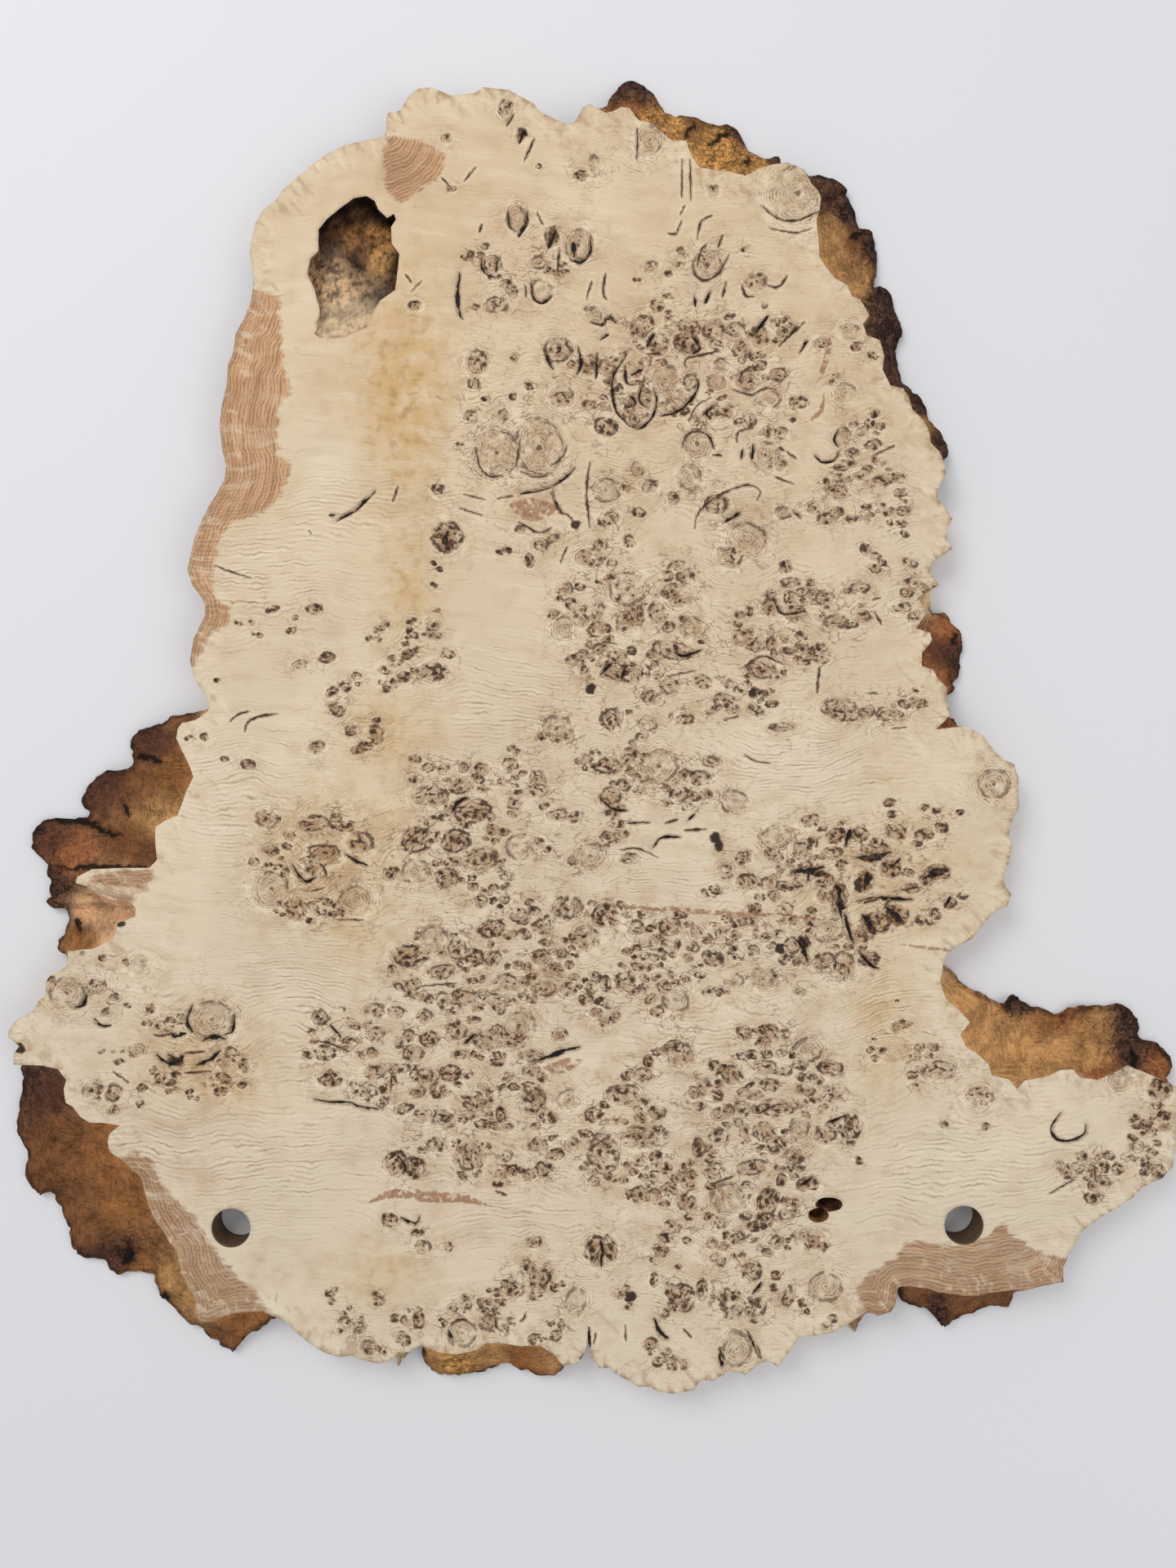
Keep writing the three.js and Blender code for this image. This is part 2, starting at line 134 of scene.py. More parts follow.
ROOM_STRENGTH = 0.62
world = bpy.data.worlds.new("soft_room")
world.use_nodes = True
world.node_tree.nodes["Background"].inputs["Color"].default_value = (0.98, 0.99, 1.0, 1)
world.node_tree.nodes["Background"].inputs["Strength"].default_value = ROOM_STRENGTH
bpy.context.scene.world = world
bpy.context.scene.view_settings.view_transform = "Standard"
soft_light("key_light", (-0.9, 1.1, 1.5), (0, 0, 0), 1.2, 17)
soft_light("fill_light", (1.3, -0.6, 1.4), (0, 0, 0), 1.4, 6)
print(len(bpy.data.lights), "soft lights")

# %% [markdown]
# ## Shader helpers
# A finish here is a sum of many small marks, so its maths is written as plain expressions. `Shade`
# wraps one socket: an operator on it adds a Math node. `Finish` owns a material and adds every other
# node.

# %% A small language for finishes


class Shade:
    """A value that changes over the surface. Operators on it add Math nodes."""

    def __init__(self, finish, socket):
        self.finish = finish
        self.socket = socket

    def math(self, operation, *others):
        inputs = {i: value for i, value in enumerate((self, *others))}
        return self.finish.node("ShaderNodeMath", {"operation": operation}, inputs)

    def __add__(self, other):
        return self.math("ADD", other)

    __radd__ = __add__

    def __mul__(self, other):
        return self.math("MULTIPLY", other)

    __rmul__ = __mul__

    def __sub__(self, other):
        return self.math("SUBTRACT", other)

    def __rsub__(self, other):
        return self.math("MULTIPLY_ADD", -1.0, other)

    def __truediv__(self, other):
        return self.math("DIVIDE", other)

    def __rtruediv__(self, other):
        return self.math("POWER", -1.0) * other

    def __abs__(self):
        return self.math("ABSOLUTE")

    def fract(self):
        return self.math("FRACT")

    def least(self, other):
        return self.math("MINIMUM", other)

    def most(self, other):
        return self.math("MAXIMUM", other)

    def step(self, low, high):
        """0 where the value is at low, 1 where it is at high, and smooth between them."""
        inputs = {"Value": self, "From Min": low, "From Max": high}
        return self.finish.node("ShaderNodeMapRange", {"interpolation_type": "SMOOTHSTEP"}, inputs)


SOCKETS = {"base_color": "Base Color", "roughness": "Roughness", "specular_ior_level": "Specular IOR Level"}


class Finish:
    """A material, and the one method that adds a node to it."""

    def __init__(self, name):
        self.material = bpy.data.materials.new(name)
        self.material.use_nodes = True
        self.tree = self.material.node_tree
        self.shader = self.tree.nodes["Principled BSDF"]
        self.place = self.node("ShaderNodeTexCoord", output="Object")

    def node(self, kind, settings=None, inputs=None, output=0):
        made = self.tree.nodes.new(kind)
        for key, value in (settings or {}).items():
            setattr(made, key, value)
        for key, value in (inputs or {}).items():
            self.feed(made.inputs[key], value)
        return Shade(self, made.outputs[output])

    def feed(self, socket, value):
        if isinstance(value, Shade):
            self.tree.links.new(value.socket, socket)
        else:
            socket.default_value = value

    def mix(self, factor, first, second, blend="MIX"):
        settings = {"data_type": "RGBA", "blend_type": blend}
        return self.node("ShaderNodeMix", settings, {0: factor, 6: first, 7: second}, output=2)

    def attribute(self, name, output="Fac"):
        return self.node("ShaderNodeAttribute", {"attribute_name": name}, output=output)

    def split(self, vector):
        parts = self.node("ShaderNodeSeparateXYZ", inputs={"Vector": vector})
        return [Shade(self, socket) for socket in parts.socket.node.outputs]

    def noise(self, size, detail=2.0, stretch=(1, 1, 1), rough=0.5):
        """Cloudy noise from 0 to 1, whose lumps are about `size` metres wide."""
        scaled = self.node("ShaderNodeMapping", inputs={"Vector": self.place, "Scale": stretch})
        inputs = {"Vector": scaled, "Scale": 1 / size, "Detail": detail, "Roughness": rough}
        return self.node("ShaderNodeTexNoise", inputs=inputs)

    def noise_at(self, vector, scale, detail):
        """Cloudy noise read in some other space than the object's own."""
        return self.node("ShaderNodeTexNoise", inputs={"Vector": vector, "Scale": scale, "Detail": detail})

    def join(self, x, y, z):
        return self.node("ShaderNodeCombineXYZ", inputs={"X": x, "Y": y, "Z": z})

    def shift(self, vector, colour, distance):
        """The vector moved by up to half the distance, by a colour whose middle is grey."""
        inputs = {0: colour, 1: (distance, distance, 0), 2: (-distance / 2, -distance / 2, 0)}
        move = self.node("ShaderNodeVectorMath", {"operation": "MULTIPLY_ADD"}, inputs)
        return self.node("ShaderNodeVectorMath", {"operation": "ADD"}, {0: vector, 1: move})

    def bump(self, height, distance, strength=1.0):
        inputs = {"Height": height, "Distance": distance, "Strength": strength}
        self.feed(self.shader.inputs["Normal"], self.node("ShaderNodeBump", inputs=inputs))

    def set(self, **sockets):
        for name, value in sockets.items():
            self.feed(self.shader.inputs[SOCKETS[name]], value)


def paint(red, green, blue):
    """A colour as seen in the photograph, 0 to 255, as the linear colour that a shader takes."""
    shares = [level / 255 for level in (red, green, blue)]
    linear = [share / 12.92 if share < 0.0405 else ((share + 0.055) / 1.055) ** 2.4 for share in shares]
    return (*linear, 1.0)


print("finishes feed", list(SOCKETS.values()))

# %% [markdown]
# ## The floor
# The slab lies on a plain pale floor. One square of a grid is enough, because it is flat and far wider
# than the picture. It sits a hair below the slab, so the two never share a surface.

# %% The floor
FLOOR_SIDE = 8
FLOOR_GAP = 0.05 * MM


def new_object(name, bm, materials):
    """A finished piece at the origin, with its place in its mesh."""
    mesh = bpy.data.meshes.new(name)
    bm.to_mesh(mesh)
    bm.free()
    for material in materials:
        mesh.materials.append(material)
    piece = bpy.data.objects.new(name, mesh)
    bpy.context.scene.collection.objects.link(piece)
    return piece


floor_finish = Finish("pale_floor")
floor_finish.set(base_color=paint(226, 225, 228), roughness=0.9)
floor_mesh = bmesh.new()
bmesh.ops.create_grid(floor_mesh, x_segments=1, y_segments=1, size=FLOOR_SIDE / 2)
bmesh.ops.translate(floor_mesh, verts=floor_mesh.verts, vec=(0, 0, -FLOOR_GAP))
floor = new_object("floor", floor_mesh, [floor_finish.material])
print("floor", FLOOR_SIDE, "m wide")

# %% [markdown]
# ## The edge of the slab
# The saw cut the face and the back flat. Between them runs the natural edge: bark and torn fibres on
# some stretches, bare wood on others. The frame already holds it as a band of triangles, so a merged
# copy is taken, its flat faces and shallow pits are dropped, and the band is refined and roughened.

# %% The band of the edge, the bores and the void
FLAT = 0.999
PIT_LIMIT = 8 * MM
FACE_SLOT, BARK_SLOT, BACK_SLOT, HOLLOW_SLOT, BORE_SLOT = range(5)


def is_sawn_flat(face):
    height = face.calc_center_median().z
    return abs(face.normal.z) > FLAT and (height > THICKNESS - 0.01 * MM or height < 0.01 * MM)


def connected(bm):
    """Groups of vertices that hang together, in the same order on every run."""
    waiting = dict.fromkeys(bm.verts)
    groups = []
    while waiting:
        group = []
        front = [waiting.popitem()[0]]
        while front:
            vert = front.pop()
            group.append(vert)
            near = [link.other_vert(vert) for link in vert.link_edges]
            fresh = [other for other in near if other in waiting]
            for other in fresh:
                waiting.pop(other, None)
            front.extend(fresh)
        groups.append(group)
    return groups


def width_of(group):
    xs = [vert.co.x for vert in group]
    return max(xs) - min(xs)


def depth_of(group):
    heights = [vert.co.z for vert in group]
    return max(heights) - min(heights)


slab = bmesh.new()
slab.from_mesh(frame["nodes"]["burl_slab"].data)
bmesh.ops.remove_doubles(slab, verts=slab.verts, dist=0.001 * MM)
bmesh.ops.delete(slab, geom=[face for face in slab.faces if is_sawn_flat(face)], context="FACES")
shallow = [vert for group in connected(slab) if depth_of(group) < PIT_LIMIT for vert in group]
bmesh.ops.delete(slab, geom=shallow, context="VERTS")
groups = sorted(connected(slab), key=width_of, reverse=True)
print(len(groups), "bands kept, widths in mm", [round(width_of(group) / MM) for group in groups])

# %% [markdown]
# ## Which band is what
# Three kinds of wall are left: the outer edge, the two bores and the void. Each has its own finish, so
# each gets its own slot. The triangles are then cut finer, because bark needs many small ones for its
# lumps. Subdividing does that and keeps the shape that the frame gave.

# %% Slots of the bands
BORE_REACH = 15 * MM
edge_faces = {face for vert in groups[0] for face in vert.link_faces}
for face in slab.faces:
    middle = face.calc_center_median().to_2d()
    near_bore = min((middle - centre).length for centre in bores.values())
    if face in edge_faces:
        face.material_index = BARK_SLOT
    elif near_bore < BORE_REACH:
        face.material_index = BORE_SLOT
    else:
        face.material_index = HOLLOW_SLOT

EDGE_CUTS = 2
LONGEST_EDGE = 3.6 * MM
bmesh.ops.subdivide_edges(slab, edges=slab.edges, cuts=EDGE_CUTS, use_grid_fill=True)
bmesh.ops.triangulate(slab, faces=slab.faces)
long_edges = [edge for edge in slab.edges if edge.calc_length() > LONGEST_EDGE]
bmesh.ops.subdivide_edges(slab, edges=long_edges, cuts=1)
bmesh.ops.triangulate(slab, faces=slab.faces)
print("band triangles", len(slab.faces))

# %% [markdown]
# ## Rough bark and torn wood
# Bark is lumpy, with fissures, and its grain is finer still. Sculpting or a Displace modifier could
# give that. Here each vertex moves along its own normal by a sum of noises, because the push can then
# fade to nothing at the rim. That keeps the seam to the face closed, with only a little raggedness
# along it.

# %% Roughened bark
BARK_LUMP = 1.7 * MM
BARK_GRAIN = 0.8 * MM
RIM_RAGGED = 0.25 * MM
HOLLOW_LUMP = 1.2 * MM
HOLLOW_GRAIN = 0.7 * MM
RIM_SEED = 5


def smoothstep(low, high, value):
    t = min(1.0, max(0.0, (value - low) / (high - low)))
    return t * t * (3 - 2 * t)


def boundary(bm, height):
    return [v for v in bm.verts if v.is_boundary and abs(v.co.z - height) < 0.02 * MM]


def tree_of(points):
    tree = kdtree.KDTree(len(points))
    for i, point in enumerate(points):
        tree.insert((point[0], point[1], 0), i)
    tree.balance()
    return tree


bark_verts = {vert for face in slab.faces if face.material_index == BARK_SLOT for vert in face.verts}
hollow_verts = {vert for face in slab.faces if face.material_index == HOLLOW_SLOT for vert in face.verts}
rim_tree = tree_of([vert.co for vert in boundary(slab, THICKNESS) if vert in bark_verts])
inner_bark = [vert for vert in bark_verts if not vert.is_boundary]
inner_hollow = [vert for vert in hollow_verts if not vert.is_boundary]
for turn in range(2):
    bmesh.ops.smooth_vert(slab, verts=inner_bark, factor=0.5,
                          use_axis_x=True, use_axis_y=True, use_axis_z=True)
slab.normal_update()


def bark_push(vert):
    """How far the bark stands out at a vertex: broad lumps, fine grain and sunk fissures."""
    gap = rim_tree.find((vert.co.x, vert.co.y, 0))[2]
    grown = smoothstep(0.5 * MM, 6 * MM, gap)
    lump = noise.noise(vert.co * 85) + 0.5 * noise.noise(vert.co * 210)
    fissure = 1 - abs(noise.noise(vert.co * 120 + Vector((7, 3, 1)))) * 3
    grain = noise.noise(vert.co * 520)
    sunk = max(0.0, fissure) ** 2
    return grown * (BARK_LUMP * (lump - 0.9 * sunk)) + (0.3 + 0.7 * grown) * BARK_GRAIN * grain


moves = {vert: vert.normal * bark_push(vert) for vert in inner_bark}
for vert in inner_hollow:
    push = HOLLOW_LUMP * noise.noise(vert.co * 160) + HOLLOW_GRAIN * noise.noise(vert.co * 420)
    moves[vert] = vert.normal * push
noise.seed_set(RIM_SEED)
for vert in boundary(slab, THICKNESS):
    if vert in bark_verts or vert in hollow_verts:
        shift = noise.noise_vector(vert.co * 250) * RIM_RAGGED
        moves[vert] = Vector((shift.x, shift.y, 0))
for vert, move in moves.items():
    vert.co += move
    vert.co.z = min(THICKNESS, max(0.0, vert.co.z))
print("roughened", len(moves), "vertices")

# %% [markdown]
# ## Where the figure lies
# Each eye is a bud that grew out towards the bark and was cut across. The larger ones are placed where
# the photograph shows them. The crowds of small ones are scattered by a seeded rule inside given ovals,
# because their places matter less than their size and density.

# %% Eyes
# Pale rosettes with clear rings: [x, y, half width, half height] in pixels
PALE_ROSETTES = [
    (609, 554, 27, 28), (660, 547, 28, 35), (977, 237, 32, 34), (796, 171, 14, 19), (866, 325, 18, 18),
    (815, 465, 14, 18), (828, 488, 11, 11), (882, 448, 9, 8), (877, 468, 10, 9), (942, 488, 13, 11),
    (845, 585, 14, 15), (1033, 533, 10, 10), (1040, 405, 12, 10), (747, 603, 10, 10), (768, 721, 22, 20),
    (691, 769, 14, 13), (849, 769, 15, 12), (807, 938, 22, 20), (899, 981, 15, 13), (794, 886, 10, 9),
    (331, 1088, 22, 20), (436, 1102, 19, 16), (508, 1067, 16, 14), (637, 1037, 18, 15),
    (533, 1151, 16, 16), (82, 1216, 22, 18), (258, 1248, 28, 22), (169, 1184, 14, 8), (168, 1286, 9, 8),
    (1217, 960, 18, 18), (891, 1467, 21, 18), (697, 1347, 13, 12), (979, 1381, 12, 12),
    (990, 1285, 17, 13), (1014, 1138, 18, 15), (935, 1199, 16, 12), (899, 1202, 11, 9), (789, 1153, 8, 8),
    (705, 1595, 12, 15), (566, 1633, 17, 16), (1011, 1576, 20, 17), (902, 1652, 17, 20),
    (1371, 1322, 14, 13), (1394, 1405, 8, 8), (915, 660, 22, 20), (663, 355, 12, 13), (728, 203, 7, 12),
    (633, 268, 11, 16), (708, 300, 15, 18), (785, 490, 13, 14), (937, 557, 18, 16), (854, 543, 15, 18),
    (682, 892, 17, 15), (742, 600, 16, 14), (635, 1256, 19, 17), (827, 1225, 16, 13), (950, 1025, 18, 14),
    (723, 1048, 18, 15), (1035, 481, 12, 11), (729, 384, 8, 8),
]
# Common eyes: a grey-brown body with a few dark pins
COMMON_EYES = [
    (585, 443, 12, 14), (630, 437, 5, 5), (580, 470, 6, 7), (682, 428, 16, 14), (720, 447, 14, 12),
    (742, 450, 10, 9), (688, 485, 14, 13), (722, 495, 8, 6), (738, 498, 7, 5), (616, 508, 6, 7),
    (577, 510, 8, 7), (678, 659, 6, 5), (662, 667, 9, 8), (735, 667, 8, 7), (723, 683, 17, 12),
    (742, 637, 11, 9), (749, 689, 6, 5), (782, 403, 11, 13), (795, 398, 8, 8), (805, 420, 13, 12),
    (846, 402, 9, 9), (840, 420, 14, 13), (873, 403, 12, 11), (878, 422, 8, 7), (907, 427, 10, 9),
    (900, 403, 10, 9), (932, 413, 10, 12), (845, 468, 8, 10), (777, 513, 7, 8), (770, 502, 7, 9),
    (792, 487, 8, 9), (917, 465, 14, 12), (955, 458, 12, 8), (978, 493, 10, 8), (887, 503, 11, 9),
    (870, 507, 10, 9), (918, 513, 8, 9), (940, 528, 6, 7), (955, 530, 8, 7), (955, 570, 7, 6),
    (1007, 420, 9, 7), (1069, 545, 10, 7), (1043, 555, 7, 6), (1035, 570, 12, 6), (1061, 575, 7, 5),
    (1081, 588, 10, 6), (1097, 585, 10, 7), (1089, 627, 8, 6), (1104, 626, 8, 6), (1063, 631, 6, 4),
    (1027, 603, 12, 9), (1014, 633, 12, 8), (780, 575, 8, 8), (795, 595, 10, 8), (825, 610, 6, 8),
    (877, 617, 13, 11), (782, 628, 7, 6), (747, 635, 10, 8), (960, 628, 9, 7), (997, 622, 9, 7),
    (1020, 602, 9, 7), (893, 682, 15, 13), (770, 663, 8, 7), (1010, 730, 11, 7), (1053, 720, 11, 7),
    (1025, 761, 15, 8), (1055, 755, 10, 7), (1114, 689, 8, 5), (1119, 714, 11, 6), (1103, 744, 13, 7),
    (1030, 869, 24, 12), (1061, 872, 10, 7), (1083, 875, 10, 8), (1125, 861, 12, 7), (1005, 805, 12, 8),
    (692, 722, 10, 8), (758, 716, 8, 8), (759, 733, 7, 6), (775, 728, 7, 7), (732, 748, 8, 9),
    (714, 759, 6, 8), (731, 771, 11, 9), (766, 760, 11, 12), (779, 754, 9, 14), (806, 750, 12, 11),
    (825, 725, 14, 10), (840, 706, 11, 8), (827, 693, 10, 6), (836, 736, 18, 6), (968, 713, 11, 6),
    (992, 714, 6, 4), (981, 726, 7, 5), (945, 744, 11, 11), (973, 750, 13, 11), (1006, 734, 6, 8),
    (911, 780, 12, 11), (924, 787, 12, 11), (945, 788, 8, 7), (982, 794, 8, 8), (933, 820, 17, 11),
    (941, 848, 7, 6), (735, 796, 12, 8), (755, 804, 12, 9), (704, 809, 10, 8), (714, 821, 8, 6),
    (779, 826, 9, 11), (823, 796, 24, 11), (821, 840, 13, 9), (860, 835, 11, 8), (797, 854, 10, 8),
    (871, 867, 8, 9), (889, 859, 14, 9), (896, 868, 8, 6), (926, 869, 9, 6), (838, 881, 10, 7),
    (957, 890, 15, 5), (770, 926, 12, 9), (871, 933, 12, 6), (857, 953, 13, 9), (831, 970, 12, 11),
    (748, 975, 13, 10), (770, 1051, 12, 6), (745, 1026, 9, 7), (992, 1006, 13, 7), (890, 1067, 10, 9),
    (939, 1083, 9, 7), (979, 1080, 9, 7), (981, 1042, 12, 11), (948, 1047, 11, 7), (1019, 1045, 10, 8),
    (1009, 1095, 9, 9), (1014, 1078, 7, 7), (962, 1113, 10, 7), (781, 1135, 10, 7), (789, 1171, 8, 5),
    (820, 1135, 13, 11), (848, 1160, 8, 6), (884, 1142, 9, 10), (866, 1149, 6, 6), (901, 1146, 6, 6),
    (873, 1173, 13, 10), (922, 1164, 9, 7), (937, 1147, 7, 5), (952, 1145, 9, 6), (970, 1158, 10, 9),
    (980, 1176, 9, 6), (945, 1199, 9, 6), (1009, 1176, 16, 9), (1033, 1183, 13, 18), (767, 1201, 13, 12),
    (776, 1212, 8, 7), (813, 1208, 9, 8), (798, 1223, 8, 8), (717, 1149, 17, 14), (1101, 1257, 10, 7),
    (1126, 1283, 7, 5), (508, 930, 7, 5), (544, 941, 7, 6), (568, 941, 7, 6), (591, 942, 9, 7),
    (626, 936, 10, 7), (658, 951, 10, 7), (662, 968, 13, 8), (527, 975, 22, 12), (565, 963, 15, 8),
    (527, 1006, 8, 6), (629, 984, 9, 7), (681, 998, 13, 8), (704, 1000, 8, 6), (587, 1054, 21, 15),
    (547, 1074, 14, 12), (440, 1032, 16, 12), (397, 1047, 18, 13), (424, 1012, 10, 7),
    (328, 1003, 13, 10), (354, 1023, 8, 6), (332, 1042, 8, 7), (312, 1056, 6, 5), (383, 1063, 9, 8),
    (476, 1071, 9, 8), (706, 1056, 9, 7), (638, 1122, 13, 9), (695, 1111, 18, 13), (664, 1135, 13, 9),
    (673, 1129, 8, 7), (560, 1164, 11, 14), (604, 1173, 11, 9), (642, 1144, 8, 6), (662, 1173, 12, 8),
    (681, 1188, 11, 8), (620, 1204, 15, 10), (638, 1204, 10, 8), (668, 1210, 13, 9), (697, 1212, 11, 8),
    (541, 1190, 16, 8), (569, 1219, 15, 10), (541, 1223, 9, 7), (512, 1221, 8, 6), (596, 1224, 15, 10),
    (387, 916, 11, 7), (459, 905, 9, 7), (684, 902, 15, 6), (412, 870, 10, 7), (393, 1246, 10, 9),
    (430, 1275, 10, 8), (459, 1237, 12, 8), (459, 1267, 10, 8), (395, 1290, 12, 10), (407, 1290, 7, 6),
    (459, 1312, 13, 10), (451, 1336, 11, 9), (519, 1245, 9, 8), (552, 1235, 12, 8), (585, 1234, 8, 6),
    (483, 1239, 10, 7), (558, 1261, 12, 11), (596, 1276, 16, 13), (506, 1290, 12, 10), (521, 1317, 11, 8),
    (511, 1337, 9, 7), (517, 1366, 13, 8), (543, 1371, 16, 10), (650, 1293, 14, 7), (650, 1311, 10, 7),
    (651, 1347, 16, 15), (536, 1402, 14, 9), (574, 1417, 17, 16), (620, 1417, 7, 7), (648, 1439, 9, 7),
    (660, 1402, 12, 9), (699, 1402, 10, 9), (517, 1527, 9, 8), (644, 1553, 11, 10), (655, 1521, 9, 7),
    (830, 1290, 19, 14), (764, 1341, 20, 13), (803, 1362, 10, 8), (788, 1347, 9, 7), (856, 1354, 8, 5),
    (780, 1393, 21, 12), (739, 1413, 19, 24), (718, 1389, 8, 6), (782, 1421, 9, 7), (831, 1442, 9, 8),
    (821, 1456, 10, 8), (801, 1463, 9, 8), (842, 1473, 12, 11), (728, 1446, 7, 6), (745, 1440, 6, 5),
    (897, 1318, 14, 11), (934, 1277, 10, 7), (959, 1267, 9, 6), (936, 1308, 17, 9), (943, 1329, 13, 8),
    (998, 1323, 10, 7), (988, 1335, 10, 7), (1019, 1339, 15, 9), (924, 1341, 9, 6), (887, 1362, 14, 8),
    (910, 1358, 10, 9), (951, 1356, 20, 10), (938, 1388, 14, 13), (1009, 1389, 13, 10),
    (881, 1391, 12, 9), (912, 1389, 7, 13), (926, 1405, 8, 6), (875, 1434, 12, 11), (922, 1430, 19, 9),
    (971, 1416, 12, 10), (978, 1430, 7, 5), (974, 1477, 7, 9), (951, 1522, 9, 8), (881, 1498, 9, 7),
    (903, 1516, 9, 8), (904, 1539, 8, 7), (879, 1543, 9, 8), (922, 1553, 10, 9), (809, 1531, 9, 7),
    (788, 1316, 11, 8), (984, 1514, 6, 7), (132, 1240, 6, 5), (142, 1222, 7, 5), (120, 1208, 13, 9),
    (274, 1300, 9, 8), (284, 1288, 7, 5), (114, 1334, 11, 9), (140, 1338, 10, 9), (423, 1619, 8, 7),
    (440, 1625, 7, 6), (461, 1587, 6, 5), (451, 1650, 9, 8), (572, 1597, 7, 6), (555, 1602, 6, 5),
    (598, 1619, 10, 10), (644, 1551, 10, 8), (661, 1568, 15, 13), (681, 1636, 8, 7), (886, 1586, 9, 8),
    (902, 1604, 7, 6), (920, 1556, 12, 10), (964, 1588, 8, 12), (930, 1600, 8, 10), (824, 1670, 7, 8),
    (840, 1597, 10, 8), (878, 1544, 8, 7), (1200, 1342, 15, 11), (1152, 1311, 19, 11),
    (1340, 1436, 9, 10), (1404, 1423, 8, 7), (1419, 1435, 9, 8), (609, 373, 14, 9), (621, 350, 8, 7),
    (628, 358, 7, 8), (660, 321, 9, 7), (602, 323, 11, 11), (619, 132, 9, 9), (547, 170, 7, 5),
    (712, 215, 9, 6), (874, 233, 7, 7), (806, 375, 9, 7), (787, 397, 13, 11), (844, 400, 13, 11),
    (925, 345, 11, 10), (861, 318, 9, 9), (835, 308, 5, 5), (797, 327, 8, 6), (367, 814, 9, 5),
    (530, 766, 9, 7), (550, 800, 7, 6), (545, 821, 6, 5),
]
# Dark eyes: mostly dark pins and slits
DARK_EYES = [
    (548, 658, 18, 17), (529, 823, 15, 11), (385, 746, 9, 6), (400, 805, 9, 6), (537, 600, 8, 8),
    (742, 522, 13, 11), (648, 687, 6, 8), (698, 740, 8, 7), (709, 719, 6, 5), (819, 768, 7, 7),
    (759, 820, 20, 15), (748, 881, 12, 13), (745, 938, 17, 9), (741, 1122, 17, 13), (715, 1149, 9, 7),
    (917, 1080, 15, 9), (910, 1050, 9, 8), (961, 1085, 10, 6), (925, 1113, 9, 7), (910, 1129, 7, 6),
    (995, 800, 9, 8), (965, 797, 10, 5), (1098, 1019, 12, 10), (1054, 1021, 11, 9), (1073, 1032, 7, 6),
    (1023, 1023, 11, 9), (1031, 1059, 8, 7), (1057, 1080, 11, 11), (1090, 1064, 12, 10),
    (1148, 1070, 14, 11), (1028, 1099, 10, 18), (1097, 1121, 13, 12), (1073, 1130, 17, 12),
    (1050, 1146, 12, 8), (1064, 1175, 11, 9), (1116, 1088, 12, 5), (1128, 1127, 7, 6), (1143, 1118, 8, 6),
    (1164, 1106, 7, 6), (1178, 1097, 6, 4), (1090, 983, 8, 4), (1093, 997, 6, 4), (1147, 993, 5, 4),
    (1174, 995, 5, 4), (1133, 1022, 12, 7), (1152, 1014, 8, 7), (1121, 1033, 7, 4), (741, 1204, 7, 9),
    (578, 993, 22, 15), (512, 1028, 19, 15), (558, 1030, 18, 13), (385, 1008, 19, 9), (363, 1113, 13, 13),
    (401, 1105, 6, 5), (412, 1108, 6, 5), (602, 1137, 16, 10), (503, 1171, 21, 13), (580, 1173, 12, 11),
    (706, 1149, 9, 8), (481, 1067, 8, 6), (456, 1290, 7, 6), (404, 1321, 14, 10), (500, 1268, 7, 7),
    (525, 1272, 11, 10), (609, 1296, 10, 8), (553, 1314, 14, 10), (533, 1340, 6, 4), (495, 1359, 12, 7),
    (583, 1343, 8, 7), (588, 1356, 7, 6), (575, 1354, 7, 6), (597, 1352, 7, 7), (600, 1368, 7, 6),
    (592, 1377, 9, 7), (613, 1365, 7, 8), (629, 1331, 8, 4), (647, 1329, 8, 4), (676, 1367, 6, 7),
    (484, 1424, 13, 14), (508, 1430, 13, 12), (627, 1433, 8, 7), (664, 1432, 10, 8), (681, 1413, 9, 7),
    (673, 1430, 6, 5), (477, 1495, 9, 8), (512, 1509, 8, 5), (549, 1527, 5, 6), (729, 1530, 13, 16),
    (746, 1530, 9, 16), (794, 1300, 6, 8), (825, 1279, 9, 6), (727, 1365, 11, 9), (802, 1416, 8, 6),
    (813, 1430, 10, 7), (784, 1463, 12, 9), (763, 1446, 5, 5), (943, 1263, 13, 8), (1017, 1308, 15, 9),
    (1041, 1380, 14, 14), (856, 1405, 8, 11), (957, 1399, 8, 7), (957, 1444, 7, 7), (941, 1471, 13, 15),
    (936, 1493, 12, 10), (990, 1450, 13, 9), (996, 1522, 10, 8), (184, 1236, 7, 6), (299, 1305, 6, 8),
    (273, 1320, 10, 6), (270, 1336, 9, 5), (196, 1320, 8, 6), (140, 1359, 7, 5), (512, 1616, 7, 9),
    (496, 1617, 6, 5), (589, 1596, 5, 6), (834, 1586, 14, 13), (860, 1577, 8, 9), (819, 1580, 6, 9),
    (800, 1569, 5, 8), (950, 1562, 7, 5), (687, 1623, 4, 7), (1421, 1334, 14, 13), (1424, 1367, 8, 7),
    (1306, 1435, 7, 8), (494, 829, 8, 6), (676, 290, 8, 12), (638, 166, 7, 7),
]
